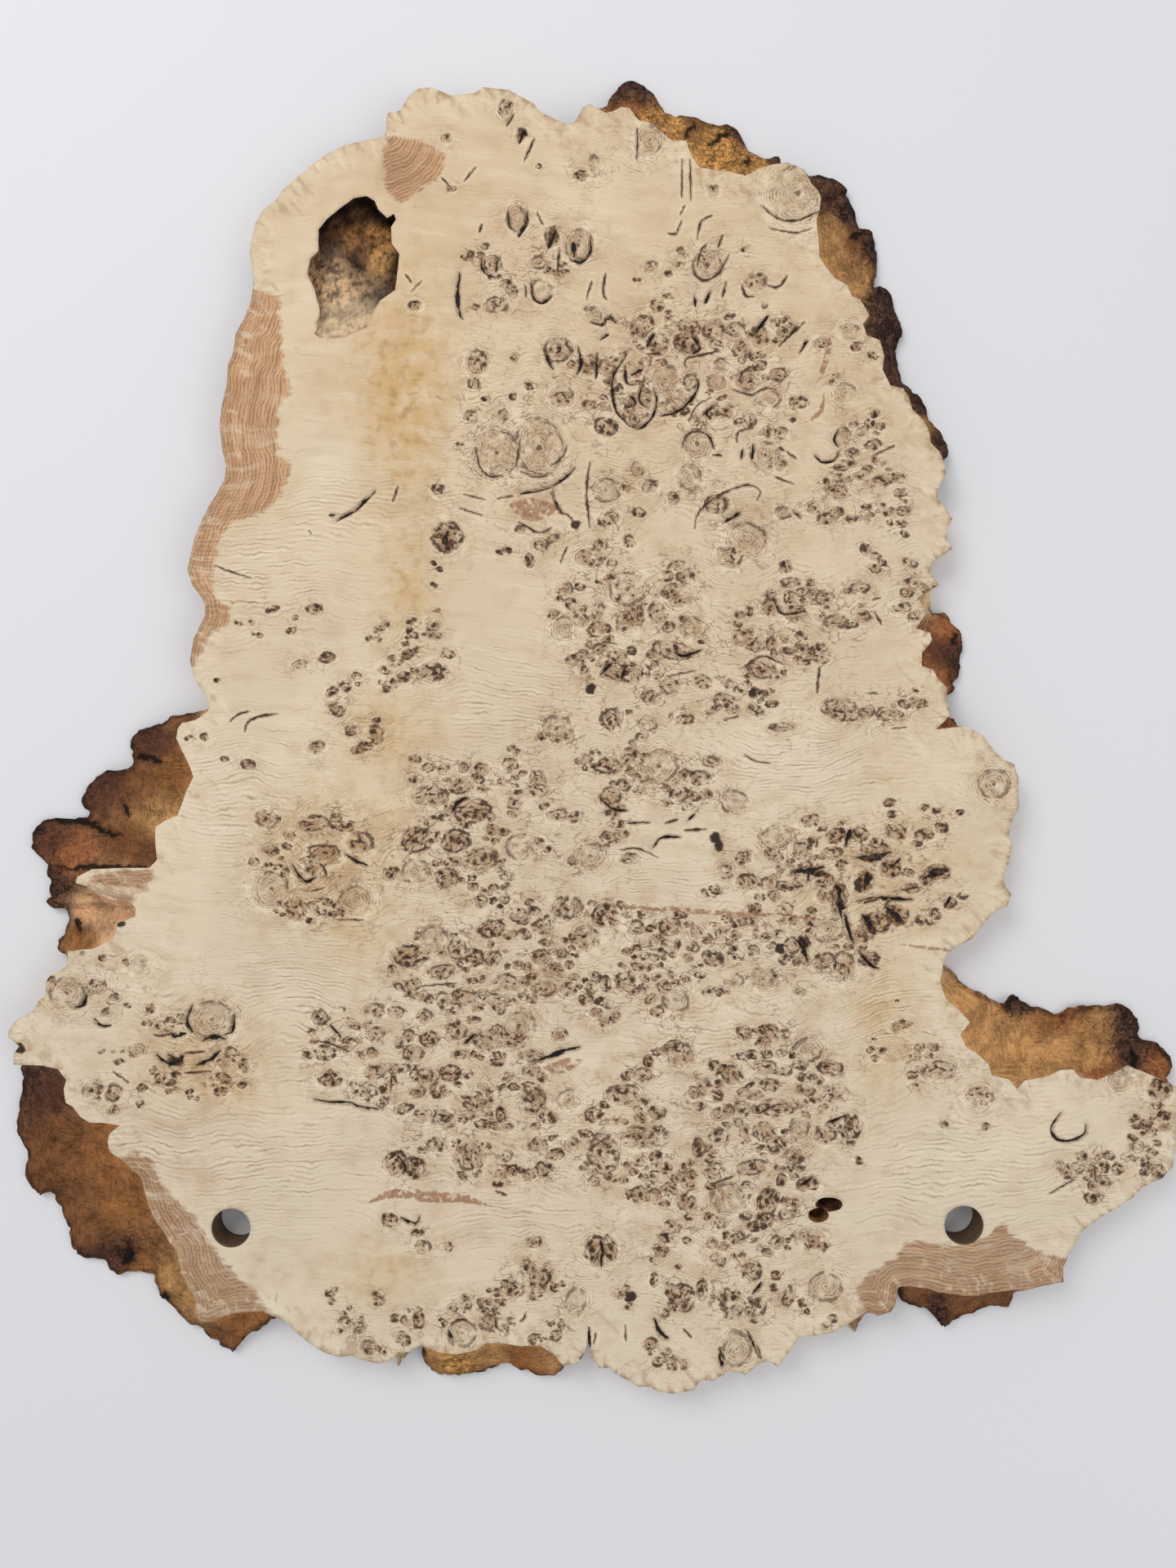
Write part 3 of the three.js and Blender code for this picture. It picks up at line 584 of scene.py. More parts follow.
# Single pins: [x, y, radius]
PINS = [
    (470, 764, 4), (464, 771, 5), (453, 781, 3), (504, 761, 4), (502, 772, 4), (501, 780, 3),
    (496, 789, 4), (498, 802, 6), (481, 807, 4), (482, 815, 3), (470, 821, 6), (482, 834, 4),
    (473, 843, 4), (507, 821, 4), (436, 828, 5), (428, 834, 3), (423, 841, 5), (406, 848, 6),
    (424, 855, 2), (537, 778, 3), (531, 690, 3), (539, 697, 3), (531, 716, 3), (536, 748, 3),
    (292, 763, 3), (309, 762, 3), (318, 778, 3), (311, 776, 2), (361, 757, 3), (356, 772, 4),
    (333, 746, 5), (265, 833, 3), (460, 882, 4), (429, 895, 6), (460, 896, 7), (448, 913, 6),
    (437, 918, 5), (524, 940, 6), (586, 953, 6), (505, 955, 4), (572, 1008, 6), (545, 1001, 5),
    (602, 1016, 7), (590, 1092, 4), (604, 1087, 4), (619, 1085, 4), (603, 1103, 4), (618, 1102, 4),
    (613, 1110, 3), (388, 1118, 4), (397, 1118, 3), (408, 1119, 4), (418, 1118, 4), (343, 1051, 3),
    (329, 1059, 3), (340, 1061, 4), (347, 1119, 3), (670, 1041, 4), (525, 1224, 6), (435, 1257, 5),
    (469, 1336, 5), (450, 1347, 3), (588, 1294, 4), (578, 1292, 5), (560, 1328, 4), (655, 1359, 4),
    (637, 1270, 6), (685, 1268, 7), (637, 1433, 5), (609, 1450, 4), (762, 597, 4), (648, 474, 4),
    (628, 485, 4), (594, 488, 4), (563, 544, 3), (617, 675, 3), (623, 674, 3), (612, 676, 3),
    (636, 648, 5), (818, 381, 4), (808, 378, 4), (958, 393, 4), (970, 515, 3), (1023, 462, 4),
    (1018, 467, 3), (930, 448, 6), (915, 430, 5), (819, 336, 4), (831, 324, 3), (911, 306, 3),
    (780, 342, 3), (936, 375, 3), (959, 393, 4), (819, 381, 4), (659, 204, 3), (554, 231, 4),
    (593, 302, 4), (576, 312, 4), (671, 332, 4), (692, 332, 3), (581, 376, 4), (509, 374, 6),
    (740, 769, 6), (929, 847, 5), (944, 862, 5), (770, 872, 3), (821, 878, 3), (744, 1036, 3),
    (726, 937, 4), (875, 1089, 6), (806, 1163, 4), (904, 1172, 4), (891, 1216, 3), (981, 1215, 4),
    (789, 1198, 5), (737, 1226, 6), (717, 1223, 7), (715, 1200, 4), (1132, 990, 4), (992, 1128, 6),
    (1098, 1226, 2), (1112, 1256, 4), (1078, 1287, 5), (1071, 1273, 2), (887, 1308, 4), (922, 1292, 5),
    (939, 1291, 5), (970, 1292, 4), (910, 1337, 5), (869, 1419, 5), (801, 1438, 5), (772, 1463, 5),
    (725, 1435, 5), (868, 1489, 4), (842, 1520, 4), (885, 1526, 5), (922, 1502, 6), (965, 1520, 3),
    (1009, 1526, 5), (799, 1543, 3), (831, 1551, 3), (1052, 1421, 4), (65, 1202, 5), (154, 1178, 3),
    (125, 1174, 4), (100, 1168, 3), (156, 1232, 3), (180, 1253, 4), (210, 1249, 4), (219, 1254, 3),
    (296, 1330, 4), (232, 1337, 3), (240, 1345, 3), (210, 1326, 5), (208, 1336, 3), (174, 1332, 5),
    (171, 1352, 4), (146, 1300, 4), (150, 1288, 2), (139, 1288, 2), (125, 1288, 3), (118, 1346, 4),
    (406, 1582, 5), (406, 1594, 3), (427, 1602, 3), (483, 1614, 4), (501, 1605, 2), (497, 1642, 5),
    (488, 1640, 3), (570, 1588, 3), (540, 1616, 2), (606, 1599, 2), (608, 1583, 4), (629, 1622, 2),
    (629, 1580, 6), (679, 1576, 5), (652, 1587, 4), (676, 1621, 3), (660, 1636, 2), (796, 1646, 6),
    (806, 1668, 5), (824, 1600, 5), (902, 1588, 6), (948, 1576, 4), (982, 1596, 4), (988, 1606, 3),
    (1020, 1614, 4), (1010, 1624, 3), (1207, 1380, 4), (1154, 1377, 4), (250, 903, 4), (231, 903, 3),
    (275, 929, 3), (304, 936, 6), (96, 1129, 4), (944, 1522, 3), (1368, 1432, 6), (1048, 425, 5),
    (1069, 436, 5), (1043, 634, 5), (1024, 627, 6), (1080, 689, 4),
]
# Pits, drawn as dark spots: [x, y, half width, half height]
PITS = [
    (876, 1026, 6, 7), (880, 1035, 5, 7), (723, 845, 6, 6), (923, 847, 6, 6), (772, 1589, 6, 6),
    (956, 1162, 6, 6), (985, 1156, 8, 9), (147, 1130, 5, 5), (1052, 1084, 6, 9), (215, 1301, 9, 5),
    (704, 642, 5, 5), (23, 1284, 6, 6),
]
# Seeded crowds that fill the gaps: [x, y, half width, half height, how many, smallest, largest]
CROWDS = [
    (850, 440, 165, 85, 42, 4, 8), (1075, 690, 70, 210, 34, 4, 8), (770, 760, 95, 80, 20, 4, 8),
    (930, 770, 90, 100, 24, 4, 8), (800, 960, 70, 80, 20, 4, 8), (385, 1060, 85, 70, 12, 4, 7),
    (600, 1020, 110, 75, 24, 4, 8), (670, 1180, 200, 90, 60, 4, 9), (1045, 1090, 110, 90, 26, 4, 8),
    (560, 1350, 130, 100, 36, 4, 8), (880, 1400, 170, 150, 70, 4, 9), (240, 1290, 70, 60, 12, 3, 6),
    (420, 1290, 50, 65, 10, 4, 7), (700, 1620, 290, 60, 46, 3, 6), (1360, 1400, 75, 75, 24, 4, 8),
    (850, 1150, 130, 70, 30, 4, 8), (660, 330, 100, 75, 8, 3, 6), (660, 940, 90, 40, 10, 4, 7),
    (480, 800, 70, 70, 8, 3, 5), (1110, 1310, 60, 35, 8, 4, 7),
]
LOOKS = {"pale": 0.15, "common": 0.55, "dark": 0.9, "pit": 1.0}
SEED = 23
dice = random.Random(SEED)


def eye(x, y, half_width, half_height, look):
    """An eye on the slab: its place, its half axes, its lean and its darkness."""
    lean = dice.uniform(-0.25, 0.25)
    return (spot(x, y), half_width * PIXEL, half_height * PIXEL, lean, LOOKS[look], look == "pit")


eyes = [eye(*row, "pale") for row in PALE_ROSETTES]
eyes += [eye(*row, "common") for row in COMMON_EYES]
eyes += [eye(*row, "dark") for row in DARK_EYES]
eyes += [eye(x, y, 1.3 * radius, radius, "dark") for x, y, radius in PINS]
eyes += [eye(*row, "pit") for row in PITS]
print(len(eyes), "eyes placed by hand")

# %% [markdown]
# ## Crowds of small eyes
# Between the large eyes lie hundreds of small ones, like froth. They could be scattered anywhere, but
# on the real slab they huddle. So each new eye is set against one that is already there, and is kept
# only if it has room.

# %% Crowds of small eyes
TRIES_PER_EYE = 30
NEIGHBOUR_REACH = 30 * MM


def has_room(place, radius):
    return all(abs(place.x - other[0].x) > NEIGHBOUR_REACH
               or (place - other[0]).length > 0.8 * (radius + max(other[1], other[2])) for other in eyes)


def beside(neighbour, radius):
    """A place that touches another eye."""
    turn = dice.uniform(0, 2 * math.pi)
    gap = radius + neighbour[1]
    return neighbour[0] + Vector((gap * math.cos(turn), gap * math.sin(turn)))


def in_oval(place, middle, half_width, half_height):
    across = (place.x - middle.x) / (half_width * PIXEL)
    along = (place.y - middle.y) / (half_height * PIXEL)
    return across * across + along * along < 1


for x, y, half_width, half_height, wanted, smallest, largest in CROWDS:
    middle = spot(x, y)
    left = wanted
    near = [other for other in eyes if in_oval(other[0], middle, half_width, half_height)]
    for attempt in range(TRIES_PER_EYE * wanted):
        radius = dice.uniform(smallest, largest)
        place = beside(dice.choice(near), radius * PIXEL)
        if left and in_oval(place, middle, half_width, half_height) and has_room(place, radius * PIXEL):
            lean = dice.uniform(-0.4, 0.4)
            squash = dice.uniform(0.6, 0.95)
            half_axes = (radius * PIXEL, squash * radius * PIXEL)
            eyes.append((place, *half_axes, lean, dice.uniform(0.4, 0.9), False))
            near.append(eyes[-1])
            left -= 1
print(len(eyes), "eyes in all")

# %% [markdown]
# ## Cracks, veins and crevices
# As the wood dried it split along its weakest lines, and bark grew into some of them. The crevices of the
# bark are painted shadow: dark lines where one chunk of bark overlaps the next. Each is written as a run of
# a few pixels with a width. A smooth curve through the pixels is held as short straight parts, because the
# distance from any point to its nearest part is then quick to work out.

# %% Cracks
# Runs of pixels, by the width of the crack in millimetres
CRACKS = {
    0.9: [
        [(261, 692), (309, 709)], [(567, 223), (583, 203)], [(539, 216), (554, 232)],
        [(644, 348), (644, 365)], [(725, 342), (718, 368)], [(835, 194), (835, 244)],
        [(845, 194), (846, 246)], [(941, 279), (973, 285), (995, 279)],
        [(637, 577), (655, 584), (673, 582)], [(695, 543), (689, 560), (673, 572)],
        [(563, 622), (593, 632)], [(843, 517), (853, 497), (873, 485)],
        [(835, 550), (840, 533), (857, 527)], [(962, 552), (977, 563)], [(814, 829), (854, 821)],
        [(910, 924), (926, 932), (945, 934)], [(412, 1126), (447, 1127)],
        [(380, 1275), (402, 1277), (431, 1289)], [(480, 1312), (478, 1340)], [(720, 1409), (749, 1389)],
        [(567, 605), (595, 612)], [(608, 611), (630, 607)], [(496, 335), (505, 347)],
        [(502, 358), (518, 342)], [(377, 649), (382, 654)], [(656, 258), (666, 277)],
        [(832, 264), (839, 250)], [(1340, 1425), (1343, 1448)], [(510, 1208), (560, 1204)],
        [(765, 1620), (767, 1644)], [(1063, 849), (1076, 848)], [(1074, 881), (1081, 870)],
        [(1090, 892), (1111, 890)], [(730, 1630), (727, 1647)], [(1068, 735), (1081, 731)],
        [(758, 1041), (781, 1039), (807, 1050)],
    ],
    1.4: [
        [(582, 547), (588, 572), (600, 583), (617, 583)], [(637, 537), (632, 573)],
        [(655, 168), (641, 199)], [(622, 258), (623, 274), (628, 282)], [(590, 273), (587, 287)],
        [(685, 303), (683, 332)], [(741, 332), (739, 358), (745, 368)],
        [(931, 251), (952, 267), (973, 270), (1005, 258)], [(854, 294), (858, 272), (874, 263)],
        [(817, 286), (828, 286), (835, 269)], [(879, 304), (886, 286)],
        [(854, 327), (858, 308), (867, 297)],
        [(849, 322), (851, 336), (863, 343), (881, 333), (893, 310)],
        [(908, 347), (913, 361), (924, 363)], [(938, 349), (952, 351), (966, 336)],
        [(890, 343), (884, 365)], [(740, 393), (747, 387), (755, 397)], [(790, 433), (812, 434)],
        [(840, 452), (840, 440), (857, 435), (883, 430)], [(953, 425), (970, 407), (987, 393)],
        [(903, 467), (912, 453), (923, 448)], [(872, 557), (885, 559)],
        [(897, 477), (920, 483), (937, 475), (953, 477)], [(903, 543), (903, 530), (923, 523)],
        [(947, 583), (973, 593)],
        [(850, 648), (853, 632), (868, 615), (890, 602), (915, 594), (931, 601), (926, 614)],
        [(677, 599), (679, 613), (685, 626), (697, 632), (706, 645)],
        [(723, 563), (718, 600), (722, 647)], [(634, 638), (660, 652), (677, 645)],
        [(695, 668), (686, 690)], [(953, 547), (962, 553)], [(722, 795), (738, 787), (755, 788)],
        [(917, 793), (928, 780)], [(909, 818), (933, 804), (959, 813)], [(1004, 815), (1000, 850)],
        [(885, 882), (905, 877)], [(819, 977), (824, 966)], [(884, 981), (886, 990), (893, 995)],
        [(765, 1008), (798, 1007)], [(813, 1008), (831, 1003)], [(836, 1017), (866, 1015)],
        [(384, 1050), (380, 1038), (396, 1036), (412, 1038)], [(430, 1030), (432, 1038)],
        [(380, 1092), (398, 1086)], [(391, 1056), (399, 1067), (400, 1074)], [(834, 1467), (846, 1456)],
        [(871, 1451), (899, 1440)], [(928, 1364), (955, 1351)], [(606, 1458), (621, 1464)],
        [(635, 1619), (642, 1615), (644, 1605)], [(836, 1626), (847, 1639)],
        [(659, 1580), (672, 1568), (674, 1555)], [(606, 1614), (608, 1629)],
        [(551, 1621), (566, 1616), (581, 1625)], [(401, 632), (412, 630)], [(480, 615), (488, 594)],
        [(280, 885), (292, 875), (307, 871)], [(299, 898), (303, 885), (318, 877), (341, 874)],
        [(186, 1266), (196, 1268), (216, 1266)], [(224, 1290), (252, 1288)], [(224, 1314), (260, 1312)],
        [(138, 1312), (158, 1326)], [(1123, 1016), (1143, 1028)], [(1283, 1463), (1316, 1444)],
        [(832, 1150), (830, 1165)], [(1057, 1106), (1081, 1100)], [(1105, 1090), (1128, 1086)],
        [(422, 1232), (420, 1240)], [(780, 155), (780, 198)], [(1116, 844), (1126, 847)],
        [(880, 1652), (887, 1667)], [(927, 1647), (932, 1665)], [(1070, 748), (1080, 765)],
        [(1066, 559), (1097, 545)],
    ],
    2.1: [
        [(620, 152), (629, 138)], [(636, 173), (641, 162), (647, 165)],
        [(646, 258), (644, 274), (634, 290)], [(723, 287), (723, 307), (712, 320), (697, 316)],
        [(589, 316), (592, 331), (607, 339)], [(609, 316), (607, 332)],
        [(650, 345), (654, 365), (665, 370), (676, 361)],
        [(723, 393), (737, 397), (744, 389), (757, 394)], [(675, 595), (690, 586), (705, 571)],
        [(637, 604), (655, 601), (675, 596)], [(675, 602), (680, 615), (690, 630)],
        [(667, 425), (671, 440), (678, 452)], [(708, 425), (712, 445), (706, 458)],
        [(731, 432), (730, 465)], [(736, 414), (746, 408)],
        [(767, 433), (752, 457), (750, 477), (755, 502), (770, 520)],
        [(770, 520), (785, 523), (800, 508), (804, 490), (800, 473)],
        [(765, 447), (767, 467), (777, 470)], [(772, 483), (778, 493), (768, 498)],
        [(785, 475), (783, 490), (793, 498)],
        [(850, 457), (856, 470), (848, 487), (830, 503), (807, 509)], [(792, 423), (802, 407)],
        [(848, 410), (857, 425), (848, 433)], [(928, 402), (942, 385)], [(980, 430), (990, 415)],
        [(927, 406), (943, 384)], [(966, 411), (977, 398)], [(873, 497), (865, 505), (872, 512)],
        [(858, 527), (868, 533), (875, 550)], [(910, 550), (908, 562)], [(923, 543), (921, 563)],
        [(998, 557), (1007, 565), (1022, 563), (1028, 552)], [(1027, 527), (1022, 537), (1028, 547)],
        [(972, 625), (982, 635)], [(412, 637), (435, 624), (462, 598)],
        [(948, 733), (957, 750), (970, 751), (988, 747)], [(735, 826), (750, 811)],
        [(761, 831), (765, 818)], [(827, 798), (838, 803), (861, 795)],
        [(736, 979), (750, 990), (770, 993)], [(844, 1004), (851, 997)],
        [(800, 1037), (811, 1026), (835, 1025)], [(422, 1046), (433, 1053), (451, 1061)],
        [(357, 1059), (366, 1073), (375, 1080), (387, 1074)], [(552, 996), (560, 983), (572, 976)],
        [(90, 1235), (102, 1230), (105, 1218)], [(114, 1248), (124, 1257), (136, 1256)],
        [(234, 1232), (228, 1250), (236, 1266)], [(286, 1244), (284, 1262), (274, 1268)],
        [(404, 1256), (418, 1272)], [(384, 1347), (402, 1350), (428, 1351), (439, 1356), (464, 1359)],
        [(490, 1492), (508, 1499), (514, 1490)], [(1013, 1376), (1039, 1366)], [(549, 1631), (554, 1642)],
        [(922, 1586), (934, 1570)], [(916, 1632), (930, 1664)],
        [(1083, 1113), (1093, 1102), (1119, 1101)], [(1052, 1166), (1067, 1183), (1078, 1187)],
        [(972, 1148), (987, 1164), (990, 1179)],
        [(1300, 1364), (1289, 1380), (1292, 1393), (1308, 1398), (1328, 1390), (1331, 1377)],
        [(721, 1627), (722, 1653)], [(851, 361), (852, 375)], [(870, 356), (863, 372)],
        [(486, 1416), (496, 1430), (492, 1440)],
    ],
    3.4: [
        [(681, 279), (676, 292), (671, 303)], [(702, 294), (703, 315)],
        [(563, 332), (560, 355), (562, 381), (567, 390)], [(773, 458), (788, 450)],
        [(888, 638), (907, 627)], [(568, 1279), (582, 1266)],
        [(655, 1301), (673, 1294), (692, 1287), (712, 1283)],
        [(190, 1292), (204, 1303), (216, 1302), (222, 1292)], [(238, 1306), (256, 1298), (270, 1286)],
        [(736, 1520), (738, 1536), (735, 1554)], [(1036, 1037), (1042, 1014)], [(978, 1456), (998, 1442)],
        [(882, 1652), (885, 1678)], [(973, 1069), (992, 1066), (1011, 1061)],
        [(801, 1616), (810, 1634), (820, 1642)], [(992, 1066), (990, 1080)],
        [(1051, 1104), (1080, 1100), (1120, 1102)], [(1054, 1166), (1064, 1180), (1074, 1187)],
        [(1158, 1112), (1166, 1097)], [(1035, 1118), (1040, 1140), (1048, 1158)],
        [(200, 1262), (212, 1268), (228, 1266)], [(246, 1276), (262, 1270), (276, 1274)],
        [(1090, 1062), (1098, 1058), (1104, 1050)],
    ],
    6.5: [
        [(1049, 1050), (1066, 1050), (1093, 1043)], [(973, 1066), (994, 1069), (1014, 1071)],
        [(1025, 1082), (1029, 1100), (1032, 1125)], [(1056, 1120), (1066, 1134), (1073, 1146)],
        [(981, 1148), (986, 1163), (990, 1180)], [(1062, 1066), (1064, 1079), (1058, 1091)],
        [(1086, 1110), (1096, 1121), (1107, 1130)], [(1131, 1077), (1146, 1069), (1164, 1066)],
        [(204, 1292), (216, 1300), (224, 1293)], [(548, 648), (545, 662), (550, 674)],
    ],
}
# Reddish veins and inclusions: [width in millimetres, run of pixels]
VEINS = [
    (3.0, [(728, 1106), (770, 1111), (830, 1114), (890, 1119), (950, 1121), (1020, 1126)]),
    (7.0, [(446, 1476), (472, 1464), (501, 1461), (523, 1466), (552, 1466), (578, 1470), (604, 1479)]),
    (2.0, [(1098, 1156), (1133, 1160), (1167, 1163), (1195, 1142)]),
    (8.0, [(664, 1309), (688, 1306), (714, 1298)]), (3.5, [(1000, 470), (1012, 440), (1016, 410)]),
    (3.0, [(985, 520), (1004, 505), (1010, 480)]), (14.0, [(622, 618), (650, 624), (684, 622)]),
]


class Runs:
    """Curved runs on the face, such as cracks and veins, held as short straight parts."""

    def __init__(self, rows):
        parts = []
        for width, pixels in rows:
            curve = self.curve([spot(*pixel) for pixel in pixels])
            lengths = np.cumsum([0] + [(end - start).length for start, end in zip(curve, curve[1:])])
            shares = lengths / lengths[-1]
            for i, (start, end) in enumerate(zip(curve, curve[1:])):
                parts.append((*start, *(end - start), width * MM, shares[i], shares[i + 1], lengths[-1]))
        parts = np.array(parts)
        self.start, self.run = parts[:, 0:2], parts[:, 2:4]
        self.width, self.share, self.length = parts[:, 4], parts[:, 5:7], parts[:, 7]

    @staticmethod
    def curve(points, steps=4):
        """A smooth curve through a few points."""
        if len(points) == 2:
            return [points[0].lerp(points[1], i / steps) for i in range(steps + 1)]
        ends = [2 * points[0] - points[1], *points, 2 * points[-1] - points[-2]]
        made = []
        for a, b, c, d in zip(ends, ends[1:], ends[2:], ends[3:]):
            for i in range(steps):
                t = i / steps
                made.append(0.5 * (2 * b + (c - a) * t + (2 * a - 5 * b + 4 * c - d) * t**2
                                   + (3 * b - a - 3 * c + d) * t**3))
        return made + [points[-1]]

    def nearest(self, points, reach):
        """The part that each point lies nearest to, and how far from it."""
        best = np.full(len(points), reach)
        which = np.zeros(len(points), int)
        for i, (a, run) in enumerate(zip(self.start, self.run)):
            near = near_box(points, a + run / 2, np.abs(run) / 2 + reach)
            share = np.clip((points[near] - a) @ run / (run @ run), 0, 1)
            gap = np.linalg.norm(points[near] - a - share[:, None] * run, axis=1)
            closer = gap < best[near]
            best[near[closer]] = gap[closer]
            which[near[closer]] = i
        return which, best

    def place(self, points, which):
        """How far along its run each point lies, from 0 to 1, and how far to its side."""
        run = self.run[which]
        length = np.linalg.norm(run, axis=-1)
        gap = points - self.start[which]
        share = (gap * run).sum(-1) / length**2
        first, last = self.share[which][..., 0], self.share[which][..., 1]
        side = (gap[..., 1] * run[..., 0] - gap[..., 0] * run[..., 1]) / length
        return first + share * (last - first), side


def near_box(points, centre, reach):
    return np.flatnonzero((np.abs(points - centre) < reach).all(axis=1))


# Painted shadow lines in the crevices of the bark, where one chunk overlaps the next: [width in millimetres,
# run of pixels]
CREVICE_SHADOWS = [
    (2.6, [(167, 928), (183, 927), (199, 934)]),
    (3.2, [(63, 1003), (107, 1007), (130, 1020), (150, 1023)]),
    (2.2, [(70, 1063), (120, 1062), (180, 1063)]), (2.4, [(150, 985), (160, 1000)]),
    (4.0, [(94, 1124), (99, 1142)]), (5.0, [(158, 1525), (157, 1537), (152, 1550)]),
    (4.0, [(201, 1581), (203, 1595)]), (4.0, [(31, 1405), (34, 1419)]),
    (1.8, [(770, 133), (780, 150), (790, 153)]), (1.8, [(838, 172), (845, 160), (852, 150)]),
    (1.6, [(915, 205), (918, 190)]), (1.8, [(866, 180), (880, 170), (895, 163)]),
    (2.0, [(858, 208), (868, 215)]), (3.2, [(1386, 1286), (1388, 1305), (1385, 1326)]),
    (2.4, [(1040, 292), (1058, 285)]), (2.0, [(1165, 790), (1172, 775)]),
]
cracks = Runs([(width, run) for width, runs in CRACKS.items() for run in runs])
crevice_shadows = Runs(CREVICE_SHADOWS)
veins = Runs(VEINS)
print(len(cracks.start), "parts of cracks,", len(veins.start), "parts of veins")

# %% [markdown]
# ## The sawn face
# The face is one flat sheet between the rim of the edge, the bores and the void. No operator fills such
# a ragged outline with even triangles, so Blender's own triangulator does it: it takes the rims as
# edges that it must keep, and loose points for it to use inside. Points lie closer along each crack.

# %% Loops and points
FACE_SPACING = 2.45 * MM
BACK_SPACING = 9 * MM
OPEN_CRACK = 1.5 * MM


def loops_at(bm, height):
    """Closed rings of boundary vertices at one height, the longest first, each from its rightmost vertex."""
    waiting = set(boundary(bm, height))
    rings = []
    while waiting:
        ring = [max(waiting, key=lambda vert: (vert.co.x, vert.co.y))]
        waiting.remove(ring[0])
        while True:
            edges = [edge for edge in ring[-1].link_edges if edge.is_boundary]
            fresh = [edge.other_vert(ring[-1]) for edge in edges if edge.other_vert(ring[-1]) in waiting]
            if not fresh:
                break
            ring.append(fresh[0])
            waiting.remove(fresh[0])
        rings.append(ring)
    return sorted(rings, key=len, reverse=True)


def inside(points, ring):
    """True for each point that lies inside a closed ring of vertices."""
    order = np.argsort(points[:, 1])
    across, heights = points[order, 0], points[order, 1]
    within = np.zeros(len(points), bool)
    for start, end in zip(ring, ring[1:] + ring[:1]):
        (x0, y0), (x1, y1) = start.co.xy, end.co.xy
        low, high = np.searchsorted(heights, sorted((y0, y1)))
        if high > low:
            crossing = x0 + (heights[low:high] - y0) * (x1 - x0) / (y1 - y0)
            within[low:high] ^= across[low:high] < crossing
    result = np.empty(len(points), bool)
    result[order] = within
    return result


def even_points(spacing, seed):
    """A jittered honeycomb of points over the whole box of the slab."""
    scatter = np.random.default_rng(seed)
    columns = np.arange(slab_low.x, slab_high.x, spacing)
    rows = np.arange(slab_low.y, slab_high.y, spacing * 0.866)
    grid_x, grid_y = np.meshgrid(columns, rows)
    grid_x[1::2] += spacing / 2
    points = np.stack([grid_x.ravel(), grid_y.ravel()], axis=1)
    return points + scatter.uniform(-0.18, 0.18, points.shape) * spacing


def away_from(points, others, gap):
    tree = tree_of(others)
    return np.array([tree.find((x, y, 0))[2] > gap for x, y in points])


def fill_sheet(bm, height, points, slot, flip):
    """Fills the rings at one height with triangles that also use the points inside."""
    rings = loops_at(bm, height)
    rims = [vert for ring in rings for vert in ring]
    keep = inside(points, rings[0])
    for ring in rings[1:]:
        keep &= ~inside(points, ring)
    points = points[keep]
    edges = []
    start = 0
    for ring in rings:
        edges += [(start + i, start + (i + 1) % len(ring)) for i in range(len(ring))]
        start += len(ring)
    corners = [vert.co.to_2d() for vert in rims] + [Vector(point) for point in points]
    places, _, faces, sources, _, _ = delaunay_2d_cdt(corners, edges, [], 1, 1e-9)
    verts = []
    for place, source in zip(places, sources):
        old = [i for i in source if i < len(rims)]
        verts.append(rims[old[0]] if old else bm.verts.new((place.x, place.y, height)))
    middles = [[sum(places[i].x for i in face) / 3, sum(places[i].y for i in face) / 3] for face in faces]
    middles = np.array(middles)
    open_air = np.zeros(len(faces), bool)
    for ring in rings[1:]:
        open_air |= inside(middles, ring)
    for face, hole in zip(faces, open_air):
        if not hole:
            made = bm.faces.new([verts[i] for i in (reversed(face) if flip else face)])
            made.material_index = slot
    return len(faces)


def crack_points():
    """Points down the middle of each wide crack and along both its lips."""
    open_parts = cracks.width > OPEN_CRACK
    start, run, width = cracks.start[open_parts], cracks.run[open_parts], cracks.width[open_parts, None]
    side = np.stack([-run[:, 1], run[:, 0]], axis=1) / np.linalg.norm(run, axis=1, keepdims=True)
    side = side * 0.6 * width
    return np.vstack([start + share * run + lip * side for share in (0, 0.5) for lip in (-1, 0, 1)])


rim_run = np.array([tuple(vert.co.xy) for vert in loops_at(slab, THICKNESS)[0]])
lips = crack_points()
rim_points = [vert.co for vert in boundary(slab, THICKNESS)]
face_points = even_points(FACE_SPACING, SEED)
face_points = face_points[away_from(face_points, rim_points, 0.55 * FACE_SPACING)]
face_points = face_points[away_from(face_points, lips, 0.5 * FACE_SPACING)]
face_points = np.vstack([face_points, lips])
face_count = fill_sheet(slab, THICKNESS, face_points, FACE_SLOT, flip=False)
back_rim = [vert.co for vert in boundary(slab, 0.0)]
foot_run = np.array([tuple(vert.co.xy) for vert in loops_at(slab, 0.0)[0]])
back_points = even_points(BACK_SPACING, SEED + 1)
back_points = back_points[away_from(back_points, back_rim, 0.5 * BACK_SPACING)]
back_count = fill_sheet(slab, 0.0, back_points, BACK_SLOT, flip=True)
open_edges = sum(1 for edge in slab.edges if not edge.is_manifold)
print("face", face_count, "back", back_count, "all", len(slab.faces), "open edges", open_edges)

# %% [markdown]
# ## Relief and marks on the face
# Two things are worked out for the whole face at once. Relief sinks each eye and opens each crack.
# Marks are numbers kept on the mesh for the finish to read: where a point lies within its nearest eye,
# how far it is from its nearest crack, which growth layer it cuts, and which stain it lies in.

# %% Arrays of eyes and cracks
FAR_AWAY = 9.0
RADIAL_REACH = 45 * MM
slab_piece = new_object("burl_slab_figured", slab, [])
mesh = slab_piece.data
count = len(mesh.vertices)
verts = np.zeros(count * 3)
mesh.vertices.foreach_get("co", verts)
verts = verts.reshape(-1, 3)
slots = np.zeros(len(mesh.polygons), int)
mesh.polygons.foreach_get("material_index", slots)
corners = np.zeros(len(mesh.loops), int)
mesh.loops.foreach_get("vertex_index", corners)
corners = corners.reshape(-1, 3)

